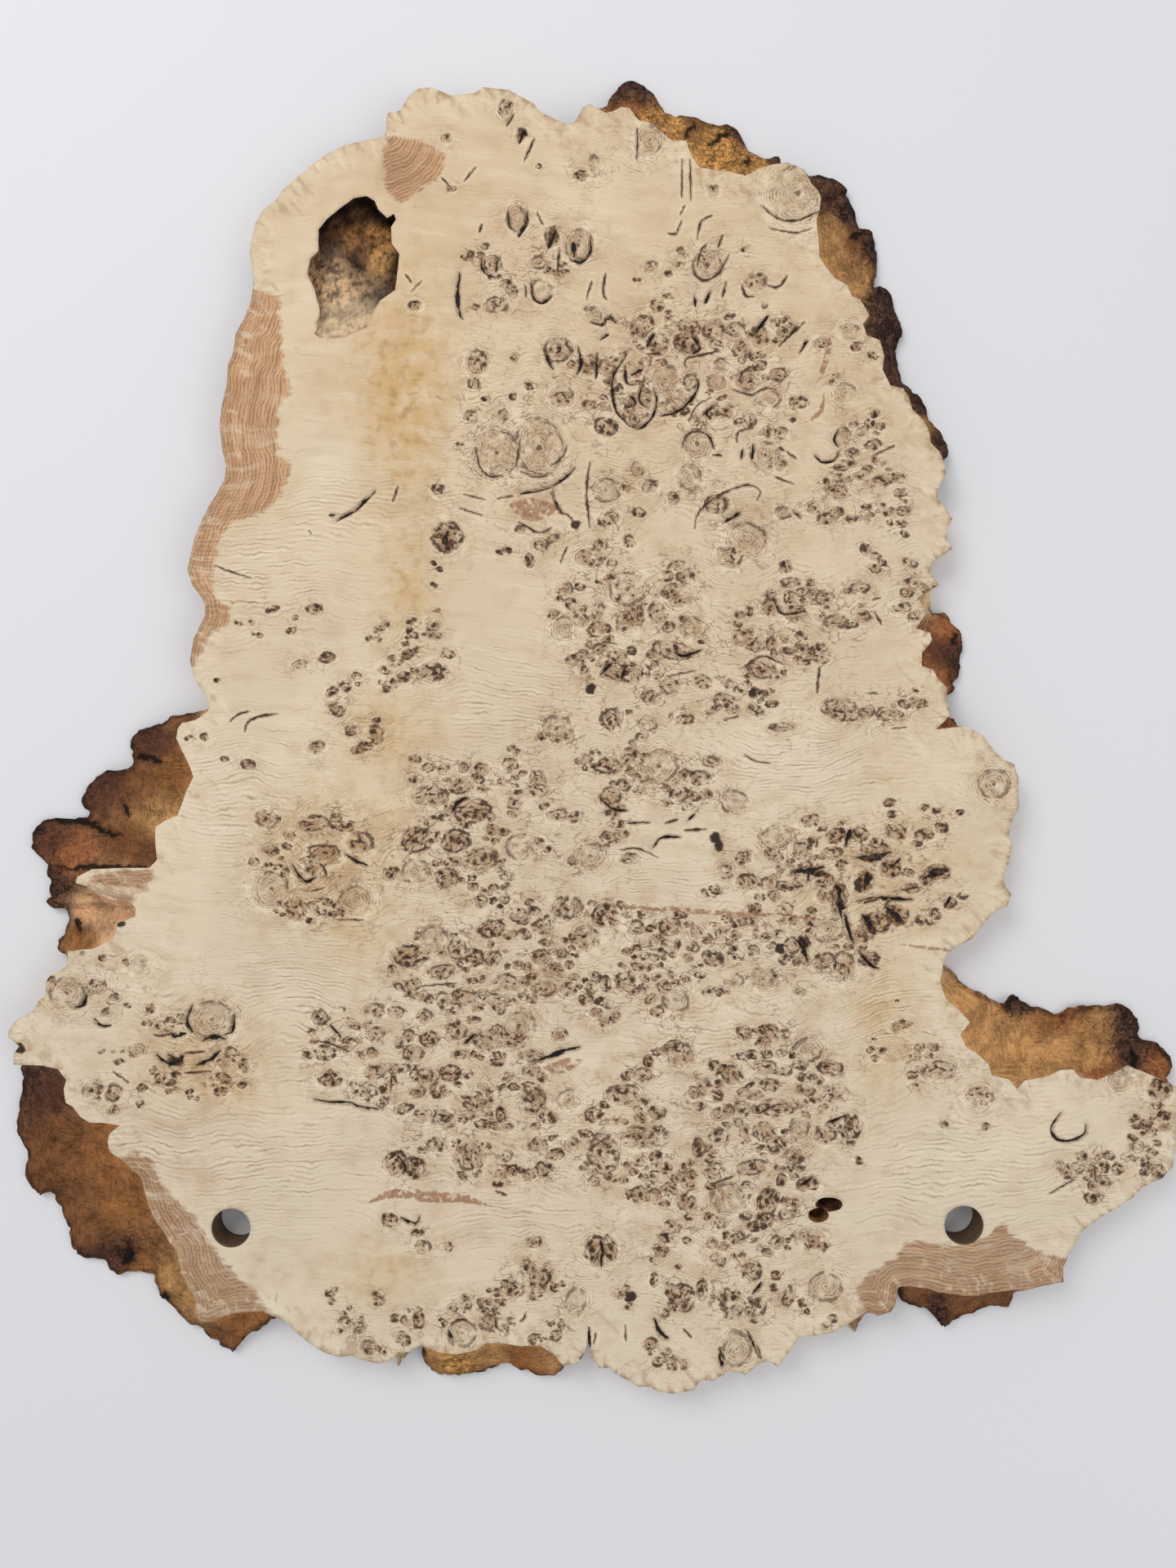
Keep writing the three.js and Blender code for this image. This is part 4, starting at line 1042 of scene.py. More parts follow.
eye_place = np.array([tuple(eye[0]) for eye in eyes])
eye_size = np.array([eye[1:3] for eye in eyes])
eye_turn = np.array([eye[3] for eye in eyes])
eye_dark = np.array([eye[4] for eye in eyes])
eye_pit = np.array([eye[5] for eye in eyes], float)
eye_seed = np.array([dice.random() for eye in eyes])
run_tree = tree_of(rim_run)
for i, (x, y) in enumerate(eye_place):
    rim_point, _, gap = run_tree.find((x, y, 0))
    if gap < RADIAL_REACH:
        outward = math.atan2(rim_point.y - y, rim_point.x - x) + dice.uniform(-0.3, 0.3)
        eye_seed[i] = outward / (2 * math.pi) % 1


EYE_REACH = 3.2
CRACK_REACH = 8 * MM


def in_eye(points, which):
    """Places inside eyes: 0 at the eye's middle, 1 on its rim."""
    gap = points - eye_place[which]
    cos, sin = np.cos(eye_turn[which]), np.sin(eye_turn[which])
    across = (gap[..., 0] * cos + gap[..., 1] * sin) / eye_size[which][..., 0]
    along = (-gap[..., 0] * sin + gap[..., 1] * cos) / eye_size[which][..., 1]
    return np.stack([across, along], axis=-1)


def nearest_eye(points):
    """The eye that each point lies in or nearest to, and how far out it lies there."""
    best = np.full(len(points), FAR_AWAY)
    which = np.zeros(len(points), int)
    for i in range(len(eyes)):
        near = near_box(points, eye_place[i], EYE_REACH * eye_size[i].max())
        reach = np.linalg.norm(in_eye(points[near], np.array([i])), axis=1)
        closer = reach < best[near]
        best[near[closer]] = reach[closer]
        which[near[closer]] = i
    return which, best


# %% [markdown]
# ## Relief
# An eye lies a little lower than the wood round it once the slab is sawn and dry, and a crack stands
# open. Both are real geometry here, because bump alone would leave the mesh flat. Vertices on the rim
# stay where they are, which keeps the seam to the edge closed.

# %% Relief
EYE_SINK = 0.5 * MM
CRACK_SINK = 2.4 * MM
FACE_WAVE = 0.12 * MM
face_polys = slots == FACE_SLOT
face_verts = np.zeros(count, bool)
face_verts[corners[face_polys].ravel()] = True
rim_verts = np.zeros(count, bool)
rim_verts[corners[~face_polys].ravel()] = True
moving = face_verts & ~rim_verts
flat = verts[:, :2]
which, reach = nearest_eye(flat[moving])
sink = EYE_SINK * np.clip(1 - reach**2, 0, 1) * (0.4 + 0.6 * eye_dark[which])
part, gap = cracks.nearest(flat[moving], CRACK_REACH)
along, side = cracks.place(flat[moving], part)
opening = cracks.width[part] * np.clip(1 - (2 * along - 1) ** 2, 0, 1)
opened = np.clip(1 - gap / (0.55 * opening + 0.01 * MM), 0, 1)
sink += CRACK_SINK * opened * (cracks.width[part] > OPEN_CRACK)
wave = np.array([noise.noise(Vector((x * 60, y * 60, 0))) for x, y in flat[moving]])
verts[moving, 2] -= sink + FACE_WAVE * (1 + wave)
mesh.vertices.foreach_set("co", verts.ravel())
print("deepest relief", round(sink.max() / MM, 2), "mm")

# %% [markdown]
# ## Marks of eyes, cracks and grain
# A shader can't search a list of eyes. So each triangle is told its nearest eye and crack beforehand,
# and each corner its place inside it. The marks sit on corners, not on vertices, because two triangles
# that share a vertex may belong to different eyes. The growth layers are one height that bends round
# every eye.

# %% Marks on the mesh
GRAIN_STEP = 2.4 * MM


def wave_of(x, y, swirl):
    """How far the growth layers swing at a place: broad bends, short waves, and swirls among the eyes."""
    broad = noise.noise(Vector((x * 5, y * 5, 3)))
    middle = noise.noise(Vector((x * 14, y * 14, 9)))
    short = noise.noise(Vector((x * 34, y * 34, 5)))
    tight = noise.noise(Vector((x * 70, y * 70, 1)))
    return 7 * broad + 4 * middle + 1.6 * short + swirl * (3.5 * short + 2.0 * tight)


def mark(name, kind, domain, values):
    layer = mesh.attributes.new(name, kind, domain)
    held = "vector" if kind == "FLOAT_VECTOR" else "value"
    layer.data.foreach_set(held, np.asarray(values, float).ravel())


def mark_colour(name, values):
    layer = mesh.attributes.new(name, "FLOAT_COLOR", "POINT")
    layer.data.foreach_set("color", np.asarray(values, float).ravel())


view_flat = np.array(view_centre)
shrink = VIEW_HEIGHT / (VIEW_HEIGHT + THICKNESS - verts[:, 2:3])
seen = np.where(face_verts[:, None], flat, view_flat + (flat - view_flat) * shrink)
middles = seen[corners].mean(axis=1)
eye_mark = np.full((len(slots), 3, 3), FAR_AWAY)
which, reach = nearest_eye(middles[face_polys])
local = in_eye(flat[corners[face_polys]], which[:, None])
local[reach >= FAR_AWAY] = FAR_AWAY
eye_mark[face_polys, :, :2] = local
eye_mark[face_polys, :, 2] = eye_seed[which][:, None]
mark("eye", "FLOAT_VECTOR", "CORNER", eye_mark)
look = np.zeros((len(slots), 3, 3))
look[face_polys, :, 0] = eye_dark[which][:, None]
look[face_polys, :, 1] = (eye_size[which].mean(axis=1) / MM)[:, None]
look[face_polys, :, 2] = eye_pit[which][:, None]
mark("eye_look", "FLOAT_VECTOR", "CORNER", look)


def run_mark(name, runs, reach, polys):
    """For the finish: share along the nearest run, distance to its side, and its width."""
    marks = np.full((len(slots), 3, 3), FAR_AWAY)
    part, gap = runs.nearest(middles[polys], reach)
    along, side = runs.place(seen[corners[polys]], np.repeat(part[:, None], 3, axis=1))
    beyond = np.clip(np.abs(2 * along - 1) - 1, 0, None) * runs.length[part][:, None] / 2
    marks[polys, :, 0] = along
    marks[polys, :, 1] = np.where((gap < reach)[:, None], side / MM, FAR_AWAY)
    marks[polys, :, 2] = (runs.width[part] / MM)[:, None]
    mark(name, "FLOAT_VECTOR", "CORNER", marks)
    ends = np.full((len(slots), 3), FAR_AWAY)
    ends[polys] = beyond / MM
    mark(name + "_end", "FLOAT", "CORNER", ends)


run_mark("crack", cracks, CRACK_REACH, face_polys)
run_mark("vein", veins, 2 * CRACK_REACH, face_polys)
# The crevices of the bark are painted shadow lines, where one chunk of bark overlaps the next.
run_mark("crevice", crevice_shadows, CRACK_REACH, slots == BARK_SLOT)

crowded = np.zeros(count)
for i in range(len(eyes)):
    near = near_box(flat, eye_place[i], 4 * eye_size[i].max())
    gap = np.linalg.norm(flat[near] - eye_place[i], axis=1) / eye_size[i].max()
    crowded[near] += 0.6 * np.clip(1 - gap / 4, 0, 1)
crowded = np.clip(crowded, 0, 1)
mark("crowded", "FLOAT", "POINT", crowded)
bend = np.array([wave_of(x, y, swirl) for (x, y), swirl in zip(flat, crowded)])
growth = flat[:, 1] / GRAIN_STEP + bend
for i in range(len(eyes)):
    radius = eye_size[i].mean()
    near = near_box(flat, eye_place[i], EYE_REACH * radius)
    gap = flat[near] - eye_place[i]
    reach = np.linalg.norm(gap, axis=1) / radius
    window = np.clip(1 - (reach / EYE_REACH) ** 2, 0, 1) ** 2
    growth[near] -= 1.2 * gap[:, 1] / GRAIN_STEP * window / np.maximum(reach, 1) ** 2
mark("growth", "FLOAT", "POINT", growth)
print("growth layers from", round(growth.min()), "to", round(growth.max()))

# %% [markdown]
# ## Stains, clear grain and fingers
# The face has honey-coloured, rosy, brown and pale patches. Each is a soft oval at a given pixel,
# kept on the vertices. An image could hold them too, but ovals stay readable and can be changed one by
# one. The same kind of oval says where the grain is clear, and where the rim ends in fingers.

# %% Stains on the face
HONEY, ROSY, BROWN, PALE = range(4)
# [kind, x, y, half width, half height, strength]
STAINS = [
    (HONEY, 495, 475, 60, 150, 1.0), (HONEY, 500, 710, 35, 80, 0.7), (HONEY, 470, 900, 60, 50, 0.7),
    (HONEY, 1130, 1015, 90, 150, 0.3), (HONEY, 1085, 1255, 40, 90, 0.6), (HONEY, 470, 1560, 60, 40, 0.5),
    (HONEY, 280, 1330, 70, 30, 0.6), (HONEY, 440, 1130, 60, 60, 0.5), (HONEY, 480, 1010, 40, 60, 0.5),
    (ROSY, 850, 450, 150, 80, 0.5), (ROSY, 955, 795, 70, 50, 0.6), (ROSY, 640, 560, 90, 60, 0.25),
    (ROSY, 1075, 560, 80, 150, 0.3), (ROSY, 560, 1480, 90, 50, 0.4), (BROWN, 850, 440, 160, 75, 0.9),
    (BROWN, 652, 622, 26, 24, 1.3), (BROWN, 490, 215, 30, 38, 1.0), (HONEY, 395, 1050, 95, 80, 0.8),
    (BROWN, 900, 640, 60, 50, 0.7), (BROWN, 800, 980, 65, 55, 0.6), (BROWN, 395, 1055, 80, 68, 1.0),
    (BROWN, 590, 1020, 100, 60, 0.5), (BROWN, 670, 1190, 190, 80, 0.5), (BROWN, 1030, 1085, 50, 50, 0.7),
    (BROWN, 215, 1410, 90, 70, 0.6), (BROWN, 330, 1560, 80, 50, 0.5), (HONEY, 1080, 1085, 90, 80, 0.5),
    (HONEY, 245, 1300, 80, 50, 0.7), (BROWN, 600, 1350, 110, 85, 0.5), (BROWN, 900, 1400, 170, 150, 0.5),
    (BROWN, 770, 755, 90, 70, 0.3), (BROWN, 235, 1285, 65, 50, 1.0), (PALE, 405, 565, 40, 40, 0.7),
    (PALE, 330, 1600, 25, 20, 0.7), (PALE, 980, 930, 90, 60, 0.5), (PALE, 300, 1000, 80, 110, 0.4),
    (PALE, 1165, 950, 60, 60, 0.5), (PALE, 1090, 650, 60, 120, 0.4), (PALE, 1200, 1420, 90, 60, 0.5),
]
stains = np.zeros((count, 4))
for kind, x, y, half_width, half_height, strength in STAINS:
    gap = (flat - np.array(spot(x, y))) / (np.array([half_width, half_height]) * PIXEL)
    soft = np.exp(-1.1 * (gap**2).sum(axis=1))
    stains[:, kind] = np.maximum(stains[:, kind], strength * soft)
mark_colour("stain", stains)

# Plain wood where the grain shows clearly: [x, y, half width, half height]
GRAINED = [
    (630, 865, 110, 60), (985, 935, 110, 65), (385, 1235, 60, 120), (880, 1262, 110, 40),
    (325, 1425, 110, 70), (1180, 1430, 140, 80), (340, 1200, 60, 40), (330, 700, 90, 80),
    (420, 620, 70, 40), (640, 1490, 80, 40), (300, 980, 70, 80), (1080, 1230, 50, 60),
    (200, 1400, 70, 50), (800, 1080, 70, 25),
]
# Parts of the rim where the wood ends in fingers with slits between them
FINGERED = [
    (1125, 560, 75, 260), (1150, 800, 60, 120), (800, 1670, 330, 60), (600, 130, 150, 50),
    (1390, 1420, 70, 110), (60, 1250, 60, 70), (1235, 1020, 40, 150),
]
for name, ovals in (("grained", GRAINED), ("fingered", FINGERED)):
    field = np.zeros(count)
    for x, y, half_width, half_height in ovals:
        gap = (flat - np.array(spot(x, y))) / (np.array([half_width, half_height]) * PIXEL)
        field = np.maximum(field, np.exp(-0.9 * (gap**2).sum(axis=1)))
    mark(name, "FLOAT", "POINT", field)
print(len(STAINS), "stains,", len(GRAINED), "places of clear grain")

# %% [markdown]
# ## Sapwood
# The youngest wood, just under the bark, is redder. It has a sharp border to the pale wood, so it is
# drawn as outlines. What the mesh keeps is the distance to the nearest outline in millimetres, so that
# the finish can fray the border with noise.

# %% Sapwood
# Outlines in pixels. Their outer corners lie beyond the edge of the slab.
SAPWOOD = [
    [(310, 352), (343, 368), (344, 412), (349, 458), (358, 480), (341, 500), (340, 525), (341, 556),
     (357, 571), (344, 607), (319, 628), (283, 638), (270, 658), (265, 679), (260, 704), (262, 730),
     (280, 745), (278, 765), (260, 775), (250, 793), (240, 812), (150, 812), (150, 352)],
    [(180, 1415), (189, 1429), (204, 1457), (222, 1477), (240, 1495), (255, 1521), (275, 1546),
     (301, 1572), (316, 1592), (345, 1615), (345, 1720), (60, 1720), (60, 1415)],
    [(1050, 1575), (1062, 1562), (1082, 1550), (1100, 1537), (1108, 1522), (1123, 1519), (1154, 1527),
     (1190, 1522), (1210, 1514), (1225, 1499), (1240, 1511), (1266, 1529), (1299, 1540), (1340, 1540),
     (1340, 1700), (1050, 1700)],
    [(468, 180), (478, 166), (515, 172), (545, 190), (540, 215), (515, 232), (492, 248), (474, 238)],
    [(105, 1090), (110, 1072), (150, 1064), (190, 1066), (182, 1082), (165, 1100), (150, 1118),
     (138, 1100)],
]
sap = np.full(count, -30.0)
for outline_pixels in SAPWOOD:
    bounds = np.array([tuple(spot(x, y)) for x, y in outline_pixels])
    gap = np.full(count, 1e9)
    within = np.zeros(count, bool)
    for start, end in zip(bounds, np.roll(bounds, -1, axis=0)):
        run = end - start
        share = np.clip((flat - start) @ run / (run @ run), 0, 1)
        gap = np.minimum(gap, np.linalg.norm(flat - start - share[:, None] * run, axis=1))
        spans = (flat[:, 1] < start[1]) != (flat[:, 1] < end[1])
        within ^= spans & (flat[:, 0] < start[0] + (flat[:, 1] - start[1]) * run[0] / (run[1] or 1e-12))
    sap = np.maximum(sap, np.where(within, gap, -gap) / MM)
mark("sap", "FLOAT", "POINT", sap)
print("sapwood on", int((sap > 0).sum()), "vertices")

# %% [markdown]
# ## Tones of the bark
# The bark runs from nearly black to ochre. Spots of a named tone are placed at given pixels, and every
# vertex takes a blend of those near it. The fourth number of a tone says how crumbled the bark is. The
# finish adds the fibres and the crumbs.

# %% Bark tones
# Each tone is a colour as seen, and how crumbled the bark is there, from 0 to 1
TONES = {
    "red": (88, 56, 43, 0.45), "brown": (120, 80, 50, 0.3), "orange": (148, 100, 58, 0.25),
    "tan": (188, 142, 92, 0.22), "ochre": (190, 142, 84, 0.7), "black": (70, 50, 42, 1.0),
    "dark": (84, 57, 44, 0.8), "shelf": (200, 158, 120, 0.2), "wood": (206, 180, 142, 0.08),
    "gold": (172, 130, 84, 0.35), "rust": (150, 96, 60, 0.5), "sap": (168, 128, 92, 0.15),
    # The near-black tone of the hollow is painted shadow: the shade under its upper rim, put into the
    # colour.
    "soot": (26, 20, 17, 0.6), "umber": (96, 66, 46, 0.6), "amber": (150, 106, 62, 0.7),
    "bright": (196, 148, 92, 0.6), "ash": (112, 94, 78, 0.4), "ramp": (178, 148, 116, 0.7),
    "foot": (202, 176, 144, 0.25),
}
# [x, y, tone]
BARK_SPOTS = [
    (130, 960, "red"), (70, 1030, "red"), (185, 905, "red"), (225, 880, "brown"), (108, 950, "dark"),
    (42, 1012, "dark"), (192, 998, "gold"), (218, 945, "orange"), (160, 1030, "brown"),
    (70, 1085, "dark"), (85, 1046, "rust"), (200, 1050, "brown"), (110, 1115, "shelf"),
    (140, 1140, "shelf"), (95, 1150, "orange"), (150, 1110, "shelf"), (170, 960, "brown"),
    (35, 1320, "dark"), (60, 1340, "red"), (80, 1390, "brown"), (130, 1410, "orange"),
    (40, 1420, "brown"), (70, 1470, "brown"), (110, 1500, "brown"), (150, 1480, "orange"),
    (120, 1545, "red"), (170, 1560, "orange"), (210, 1570, "gold"), (200, 1600, "brown"),
    (240, 1600, "gold"), (270, 1640, "brown"), (300, 1620, "orange"), (150, 1535, "dark"),
    (1180, 1215, "tan"), (1210, 1240, "tan"), (1250, 1270, "tan"), (1200, 1290, "tan"),
    (1260, 1310, "tan"), (1300, 1280, "tan"), (1340, 1300, "tan"), (1245, 1226, "black"),
    (1285, 1248, "orange"), (1300, 1238, "rust"), (1340, 1245, "gold"), (1330, 1232, "rust"),
    (1380, 1250, "black"), (1385, 1290, "black"), (1345, 1312, "rust"), (1420, 1300, "rust"),
    (1432, 1290, "dark"), (1010, 235, "dark"), (1040, 260, "black"), (1066, 300, "black"),
    (1030, 310, "gold"), (1015, 285, "gold"), (1045, 300, "brown"), (1055, 345, "gold"),
    (1080, 360, "black"), (1095, 400, "black"), (1090, 450, "dark"), (1125, 500, "dark"),
    (1122, 522, "gold"), (1150, 550, "dark"), (760, 108, "dark"), (785, 118, "dark"), (775, 138, "rust"),
    (790, 150, "ochre"), (830, 150, "ochre"), (850, 145, "brown"), (880, 175, "ochre"),
    (930, 195, "ochre"), (860, 200, "ochre"), (905, 158, "dark"), (952, 195, "dark"), (1165, 770, "rust"),
    (1175, 800, "dark"), (1155, 800, "red"), (1140, 830, "rust"), (1150, 870, "rust"),
    (520, 1665, "gold"), (560, 1670, "ochre"), (600, 1660, "gold"), (640, 1670, "orange"),
    (680, 1655, "gold"), (480, 1660, "wood"), (1090, 1590, "dark"), (1120, 1590, "brown"),
    (1150, 1605, "dark"), (1180, 1600, "brown"), (1230, 1590, "brown"), (1290, 1570, "sap"),
    (1060, 1610, "rust"), (470, 170, "sap"), (560, 110, "wood"), (640, 125, "wood"), (700, 150, "ochre"),
    (370, 215, "wood"), (320, 270, "wood"), (300, 400, "sap"), (270, 550, "sap"), (245, 650, "sap"),
    (235, 760, "sap"), (250, 850, "wood"), (80, 1200, "wood"), (20, 1270, "wood"), (1150, 650, "wood"),
    (1130, 720, "wood"), (1230, 940, "wood"), (1240, 1000, "wood"), (1225, 1100, "wood"),
    (1170, 1160, "wood"), (1400, 1450, "wood"), (400, 1640, "wood"), (750, 1690, "wood"),
    # The near-black spots in the hollow, on this row and below, paint the shadow under its upper rim.
    (830, 1705, "wood"), (950, 1660, "wood"), (1030, 1630, "wood"), (446, 244, "soot"),
    (420, 256, "soot"), (400, 271, "soot"), (392, 282, "soot"), (461, 265, "soot"), (476, 273, "soot"),
    (410, 277, "umber"), (440, 271, "umber"), (454, 281, "amber"), (468, 291, "amber"),
    (472, 311, "bright"), (464, 325, "bright"), (450, 301, "umber"), (430, 290, "amber"),
    (400, 293, "umber"), (430, 306, "umber"), (406, 310, "ash"), (438, 324, "soot"), (390, 330, "ramp"),
    (410, 337, "ramp"), (400, 355, "ramp"), (430, 349, "ramp"), (456, 347, "ash"), (420, 385, "foot"),
    (440, 385, "foot"), (400, 401, "foot"), (488, 321, "soot"), (484, 349, "umber"), (470, 357, "ash"),
    (1000, 1480, "brown"), (1020, 1485, "umber"), (1008, 1476, "dark"),
]
spot_place = np.array([tuple(spot(x, y)) for x, y, tone in BARK_SPOTS])
spot_tone = np.array([(*paint(*TONES[tone][:3])[:3], TONES[tone][3]) for x, y, tone in BARK_SPOTS])
VERTS_AT_ONCE = 5000
tones = np.ones((count, 4))
for start in range(0, count, VERTS_AT_ONCE):
    part = slice(start, start + VERTS_AT_ONCE)
    gaps = np.linalg.norm(seen[part, None] - spot_place[None], axis=2)
    weight = 1 / (gaps + 2 * MM) ** 4
    tones[part] = weight @ spot_tone / weight.sum(axis=1)[:, None]
mark_colour("bark_tone", tones)
print(len(BARK_SPOTS), "spots of bark")

# %% [markdown]
# ## Places along the rim
# The rings of the sapwood and the rays at the rim follow the outline of the slab. So each vertex keeps
# how far along the rim it lies, how far inside it, and how far from the foot of the edge.

# %% Places along the rim
rim_step = np.linalg.norm(rim_run - np.roll(rim_run, 1, axis=0), axis=1)
rim_length = np.cumsum(rim_step)
found = [run_tree.find((x, y, 0)) for x, y in flat]
rim_mark = np.zeros((count, 3))
rim_mark[:, 0] = [rim_length[hit[1]] / MM for hit in found]
rim_mark[:, 1] = [hit[2] / MM for hit in found]
foot_tree = tree_of(foot_run)
rim_mark[:, 2] = [foot_tree.find((x, y, 0))[2] / MM for x, y in flat]
mark("rim", "FLOAT_VECTOR", "POINT", rim_mark)
print("rim", round(float(rim_length[-1]), 2), "m long")

# %% [markdown]
# ## The finish of the face
# The sawn face is dry, unpolished oak: pale, matt and full of figure. Its finish reads the marks back
# from the mesh and adds noises of several sizes. A picture could be stretched over the face instead,
# but this finish stays sharp at any size.

# %% Face finish: what it reads
fin = Finish("burl_face")
u, v, seed = fin.split(fin.attribute("eye", "Vector"))
dark, size_mm, pit = fin.split(fin.attribute("eye_look", "Vector"))
honey, rosy, brown = fin.split(fin.attribute("stain", "Color"))
pale = fin.attribute("stain", "Alpha")
crowded = fin.attribute("crowded")
grained = fin.attribute("grained")
fingered = fin.attribute("fingered")
rim_s, rim_gap, _ = fin.split(fin.attribute("rim", "Vector"))
place_x, place_y, _ = fin.split(fin.place)
wobble = fin.noise(9 * MM, 3.0) - 0.5
fine = fin.noise(2.2 * MM, 3.0) - 0.5
cloud = fin.noise(60 * MM, 4.0)
stain_noise = fin.noise(16 * MM, 4.0, rough=0.6)
print(len(fin.tree.nodes), "nodes after what it reads")

# %% [markdown]
# ## Grain
# Growth layers show as thin broken lines. The growth height is cut into waves, each wave's crest
# becomes a line, and noise breaks the lines into dashes. They are clearest in plain wood and faint
# elsewhere, as on the real slab.

# %% Face finish: grain
grain = fin.attribute("growth") + wobble * 2.2 + fine * 0.35
dash = fin.noise_at(fin.join(place_x / (15 * MM), grain * 0.7, 0.0), 1.0, 3.0)
grain_wave = abs(grain.fract() - 0.5) * 2
fine_wave = abs((grain * 2.3 + wobble).fract() - 0.5) * 2
shown = 0.09 + 0.91 * grained.most(crowded * 0.7)
grain_line = grain_wave.step(0.55, 0.97) * dash.step(0.42, 0.62) * shown
pale_line = grain_wave.step(0.40, 0.0) * dash.step(0.36, 0.56) * shown
fine_line = fine_wave.step(0.5, 1.0) * dash.step(0.60, 0.38) * shown
slit = dash.step(0.64, 0.72) * grain_wave.step(0.55, 0.92) * (0.25 + 0.75 * shown.most(honey))
speck_place = fin.join(place_x / (2.6 * MM), place_y / (1.6 * MM), grain * 0.15)
tick = fin.noise_at(speck_place, 1.0, 3.0).step(0.60, 0.70) * (0.15 + 0.85 * crowded)
sweep = fin.noise_at(fin.join(place_x / (42 * MM), grain * 0.33, 4.0), 1.0, 3.0)
swirl_noise = fin.noise_at(fin.join(place_x / (6.5 * MM), place_y / (5 * MM), grain * 0.12), 1.0, 2.0)
swirl = (1 - abs(swirl_noise - 0.5).step(0.008, 0.04)) * crowded * fin.noise(7 * MM, 2.0).step(0.4, 0.6)
print(len(fin.tree.nodes), "nodes after the grain")

# %% [markdown]
# ## The look of an eye
# An eye has a brown body, a pale rim, fine rings and a dark pupil, with torn strokes and pins beside
# it. All are drawn in the eye's own frame, where its rim has a radius of 1. The eye's seed turns that
# frame, so a few lines of maths make a thousand eyes of which no two are alike.

# %% Face finish: eyes
angle = seed * (2 * math.pi)
across = u * angle.math("COSINE") + v * angle.math("SINE")
upright = v * angle.math("COSINE") - u * angle.math("SINE")
reach = (u * u + v * v).math("SQRT")
ring = reach + (wobble * 1.1 + fine * 0.7) * (4.5 / size_mm.most(1.0)).least(1.0)
heart = 1 - ring.step(0.75, 1.2)
body = (1 - ring.step(0.45, 1.35)) * fin.noise(4 * MM, 3.0).step(0.22, 0.6)
halo = ring.step(0.95, 1.25) * (1 - ring.step(1.3, 1.9))
facing = across / reach.most(0.05)
facing = facing.most(facing * (-0.9 * seed.step(0.4, 0.5)))
shade_side = (facing + size_mm.step(3.5, 8.0) * 0.4).step(0.15, 0.95)
# Painted shade on one side just outside each eye, where the grain seems to curl round it.
flank_shade = ring.step(0.95, 1.1) * (1 - ring.step(1.1, 2.1)) * facing.step(-0.3, 0.9)
dot = (1 - ring.step(0.07, 0.14)) * (1 - dark.step(0.2, 0.3)) * size_mm.step(5.0, 8.0)
thick = 0.54 / size_mm.most(2.0)
outline = (1 - (abs(ring - 0.98) / (thick * (0.4 + 1.6 * shade_side))).step(0.4, 1.3)) * shade_side
outline = outline * fin.noise(5 * MM, 2.0).step(0.36, 0.56)
ring_wave = abs((ring * size_mm * 0.6 + seed * 7).fract() - 0.5) * 2
ring_line = ring_wave.step(0.5, 1.0) * (1 - reach.step(1.0, 2.2)) * fin.noise(4 * MM, 2.0).step(0.38, 0.6)
stroke_across = across * size_mm * 0.3 + wobble * 2.0
stroke_upright = upright * size_mm * 0.55 - wobble * 3.0
stroke_place = fin.join(stroke_across, stroke_upright, seed * 40)
stroke_noise = fin.noise_at(stroke_place, 1.0, 3.0) + (dark - 0.5) * 0.08
stroke = stroke_noise.step(0.60, 0.66) * heart * dark.step(0.2, 0.5)
pupil_gap = ((across - 0.2) * (across - 0.2) * 9 + upright * upright * 2.2).math("SQRT") + fine * 0.5
pupil = (1 - pupil_gap.step(0.26, 0.42)) * dark.step(0.2, 0.5) * (seed * 13).fract().step(0.2, 0.25)
stroke_halo = stroke_noise.step(0.50, 0.63) * heart * dark.step(0.1, 0.5)
shake = fin.node("ShaderNodeTexNoise", inputs={"Vector": fin.place, "Scale": 1 / (4.5 * MM)}, output="Color")
pin_inputs = {"Vector": fin.shift(fin.place, shake, 3.2 * MM), "Scale": 1 / (4.6 * MM), "Randomness": 0.9}
pin_gap = fin.node("ShaderNodeTexVoronoi", {"voronoi_dimensions": "2D"}, pin_inputs, output="Distance")
pin_cell = fin.node("ShaderNodeTexVoronoi", {"voronoi_dimensions": "2D"}, pin_inputs, output="Color")
pin_pick, pin_size, _ = fin.split(pin_cell)
pin_on = (pin_pick + dark * 0.3).step(0.72, 0.78) * heart * dark.step(0.1, 0.5)
pin_radius = 0.09 + 0.2 * pin_size * (0.5 + 0.7 * dark) + fine * 0.12
pin = (1 - (pin_gap - pin_radius).step(-0.03, 0.05)) * pin_on
pin_halo = (1 - (pin_gap - pin_radius).step(0.0, 0.3)) * pin_on
print(len(fin.tree.nodes), "nodes after the eyes")

# %% [markdown]
# ## The look of cracks and veins
# A crack is a dark line with a soft shade beside it and a pale lip. The mesh gives the distance to its
# middle. Its half width swells and fades towards both ends, and noise bends it, because a drawn line of
# one width would look like ink.

# %% Face finish: cracks and veins


def run_gap(fin, name, bend, swell=1.0):
    """How far a point lies outside its nearest run, in millimetres, and how wide that run is."""
    along, side, width = fin.split(fin.attribute(name, "Vector"))
    taper = 1 - (along * 2 - 1) * (along * 2 - 1)
    half = width * 0.45 * taper * swell - fin.attribute(name + "_end") * 1.5
    return abs(side + bend) - half, width


crack_swell = 0.2 + 0.8 * fin.noise(5 * MM, 3.0).step(0.3, 0.7)
crack_gap, crack_width = run_gap(fin, "crack", fine * 1.6 + wobble * 1.4, crack_swell)
crack = 1 - crack_gap.step(-0.2, 0.25)
crack_shade = 1 - (crack_gap / (0.6 + 0.25 * crack_width)).step(0.0, 1.6)
crack_lip = crack_gap.step(0.4, 1.2) * (1 - crack_gap.step(1.2, 2.6))
vein_gap, _ = run_gap(fin, "vein", wobble * 3.0 + fine * 2.0)
vein = (1 - vein_gap.step(-0.4, 0.5)) * fin.noise(3.5 * MM, 4.0).step(0.34, 0.52)
print(len(fin.tree.nodes), "nodes after the cracks")

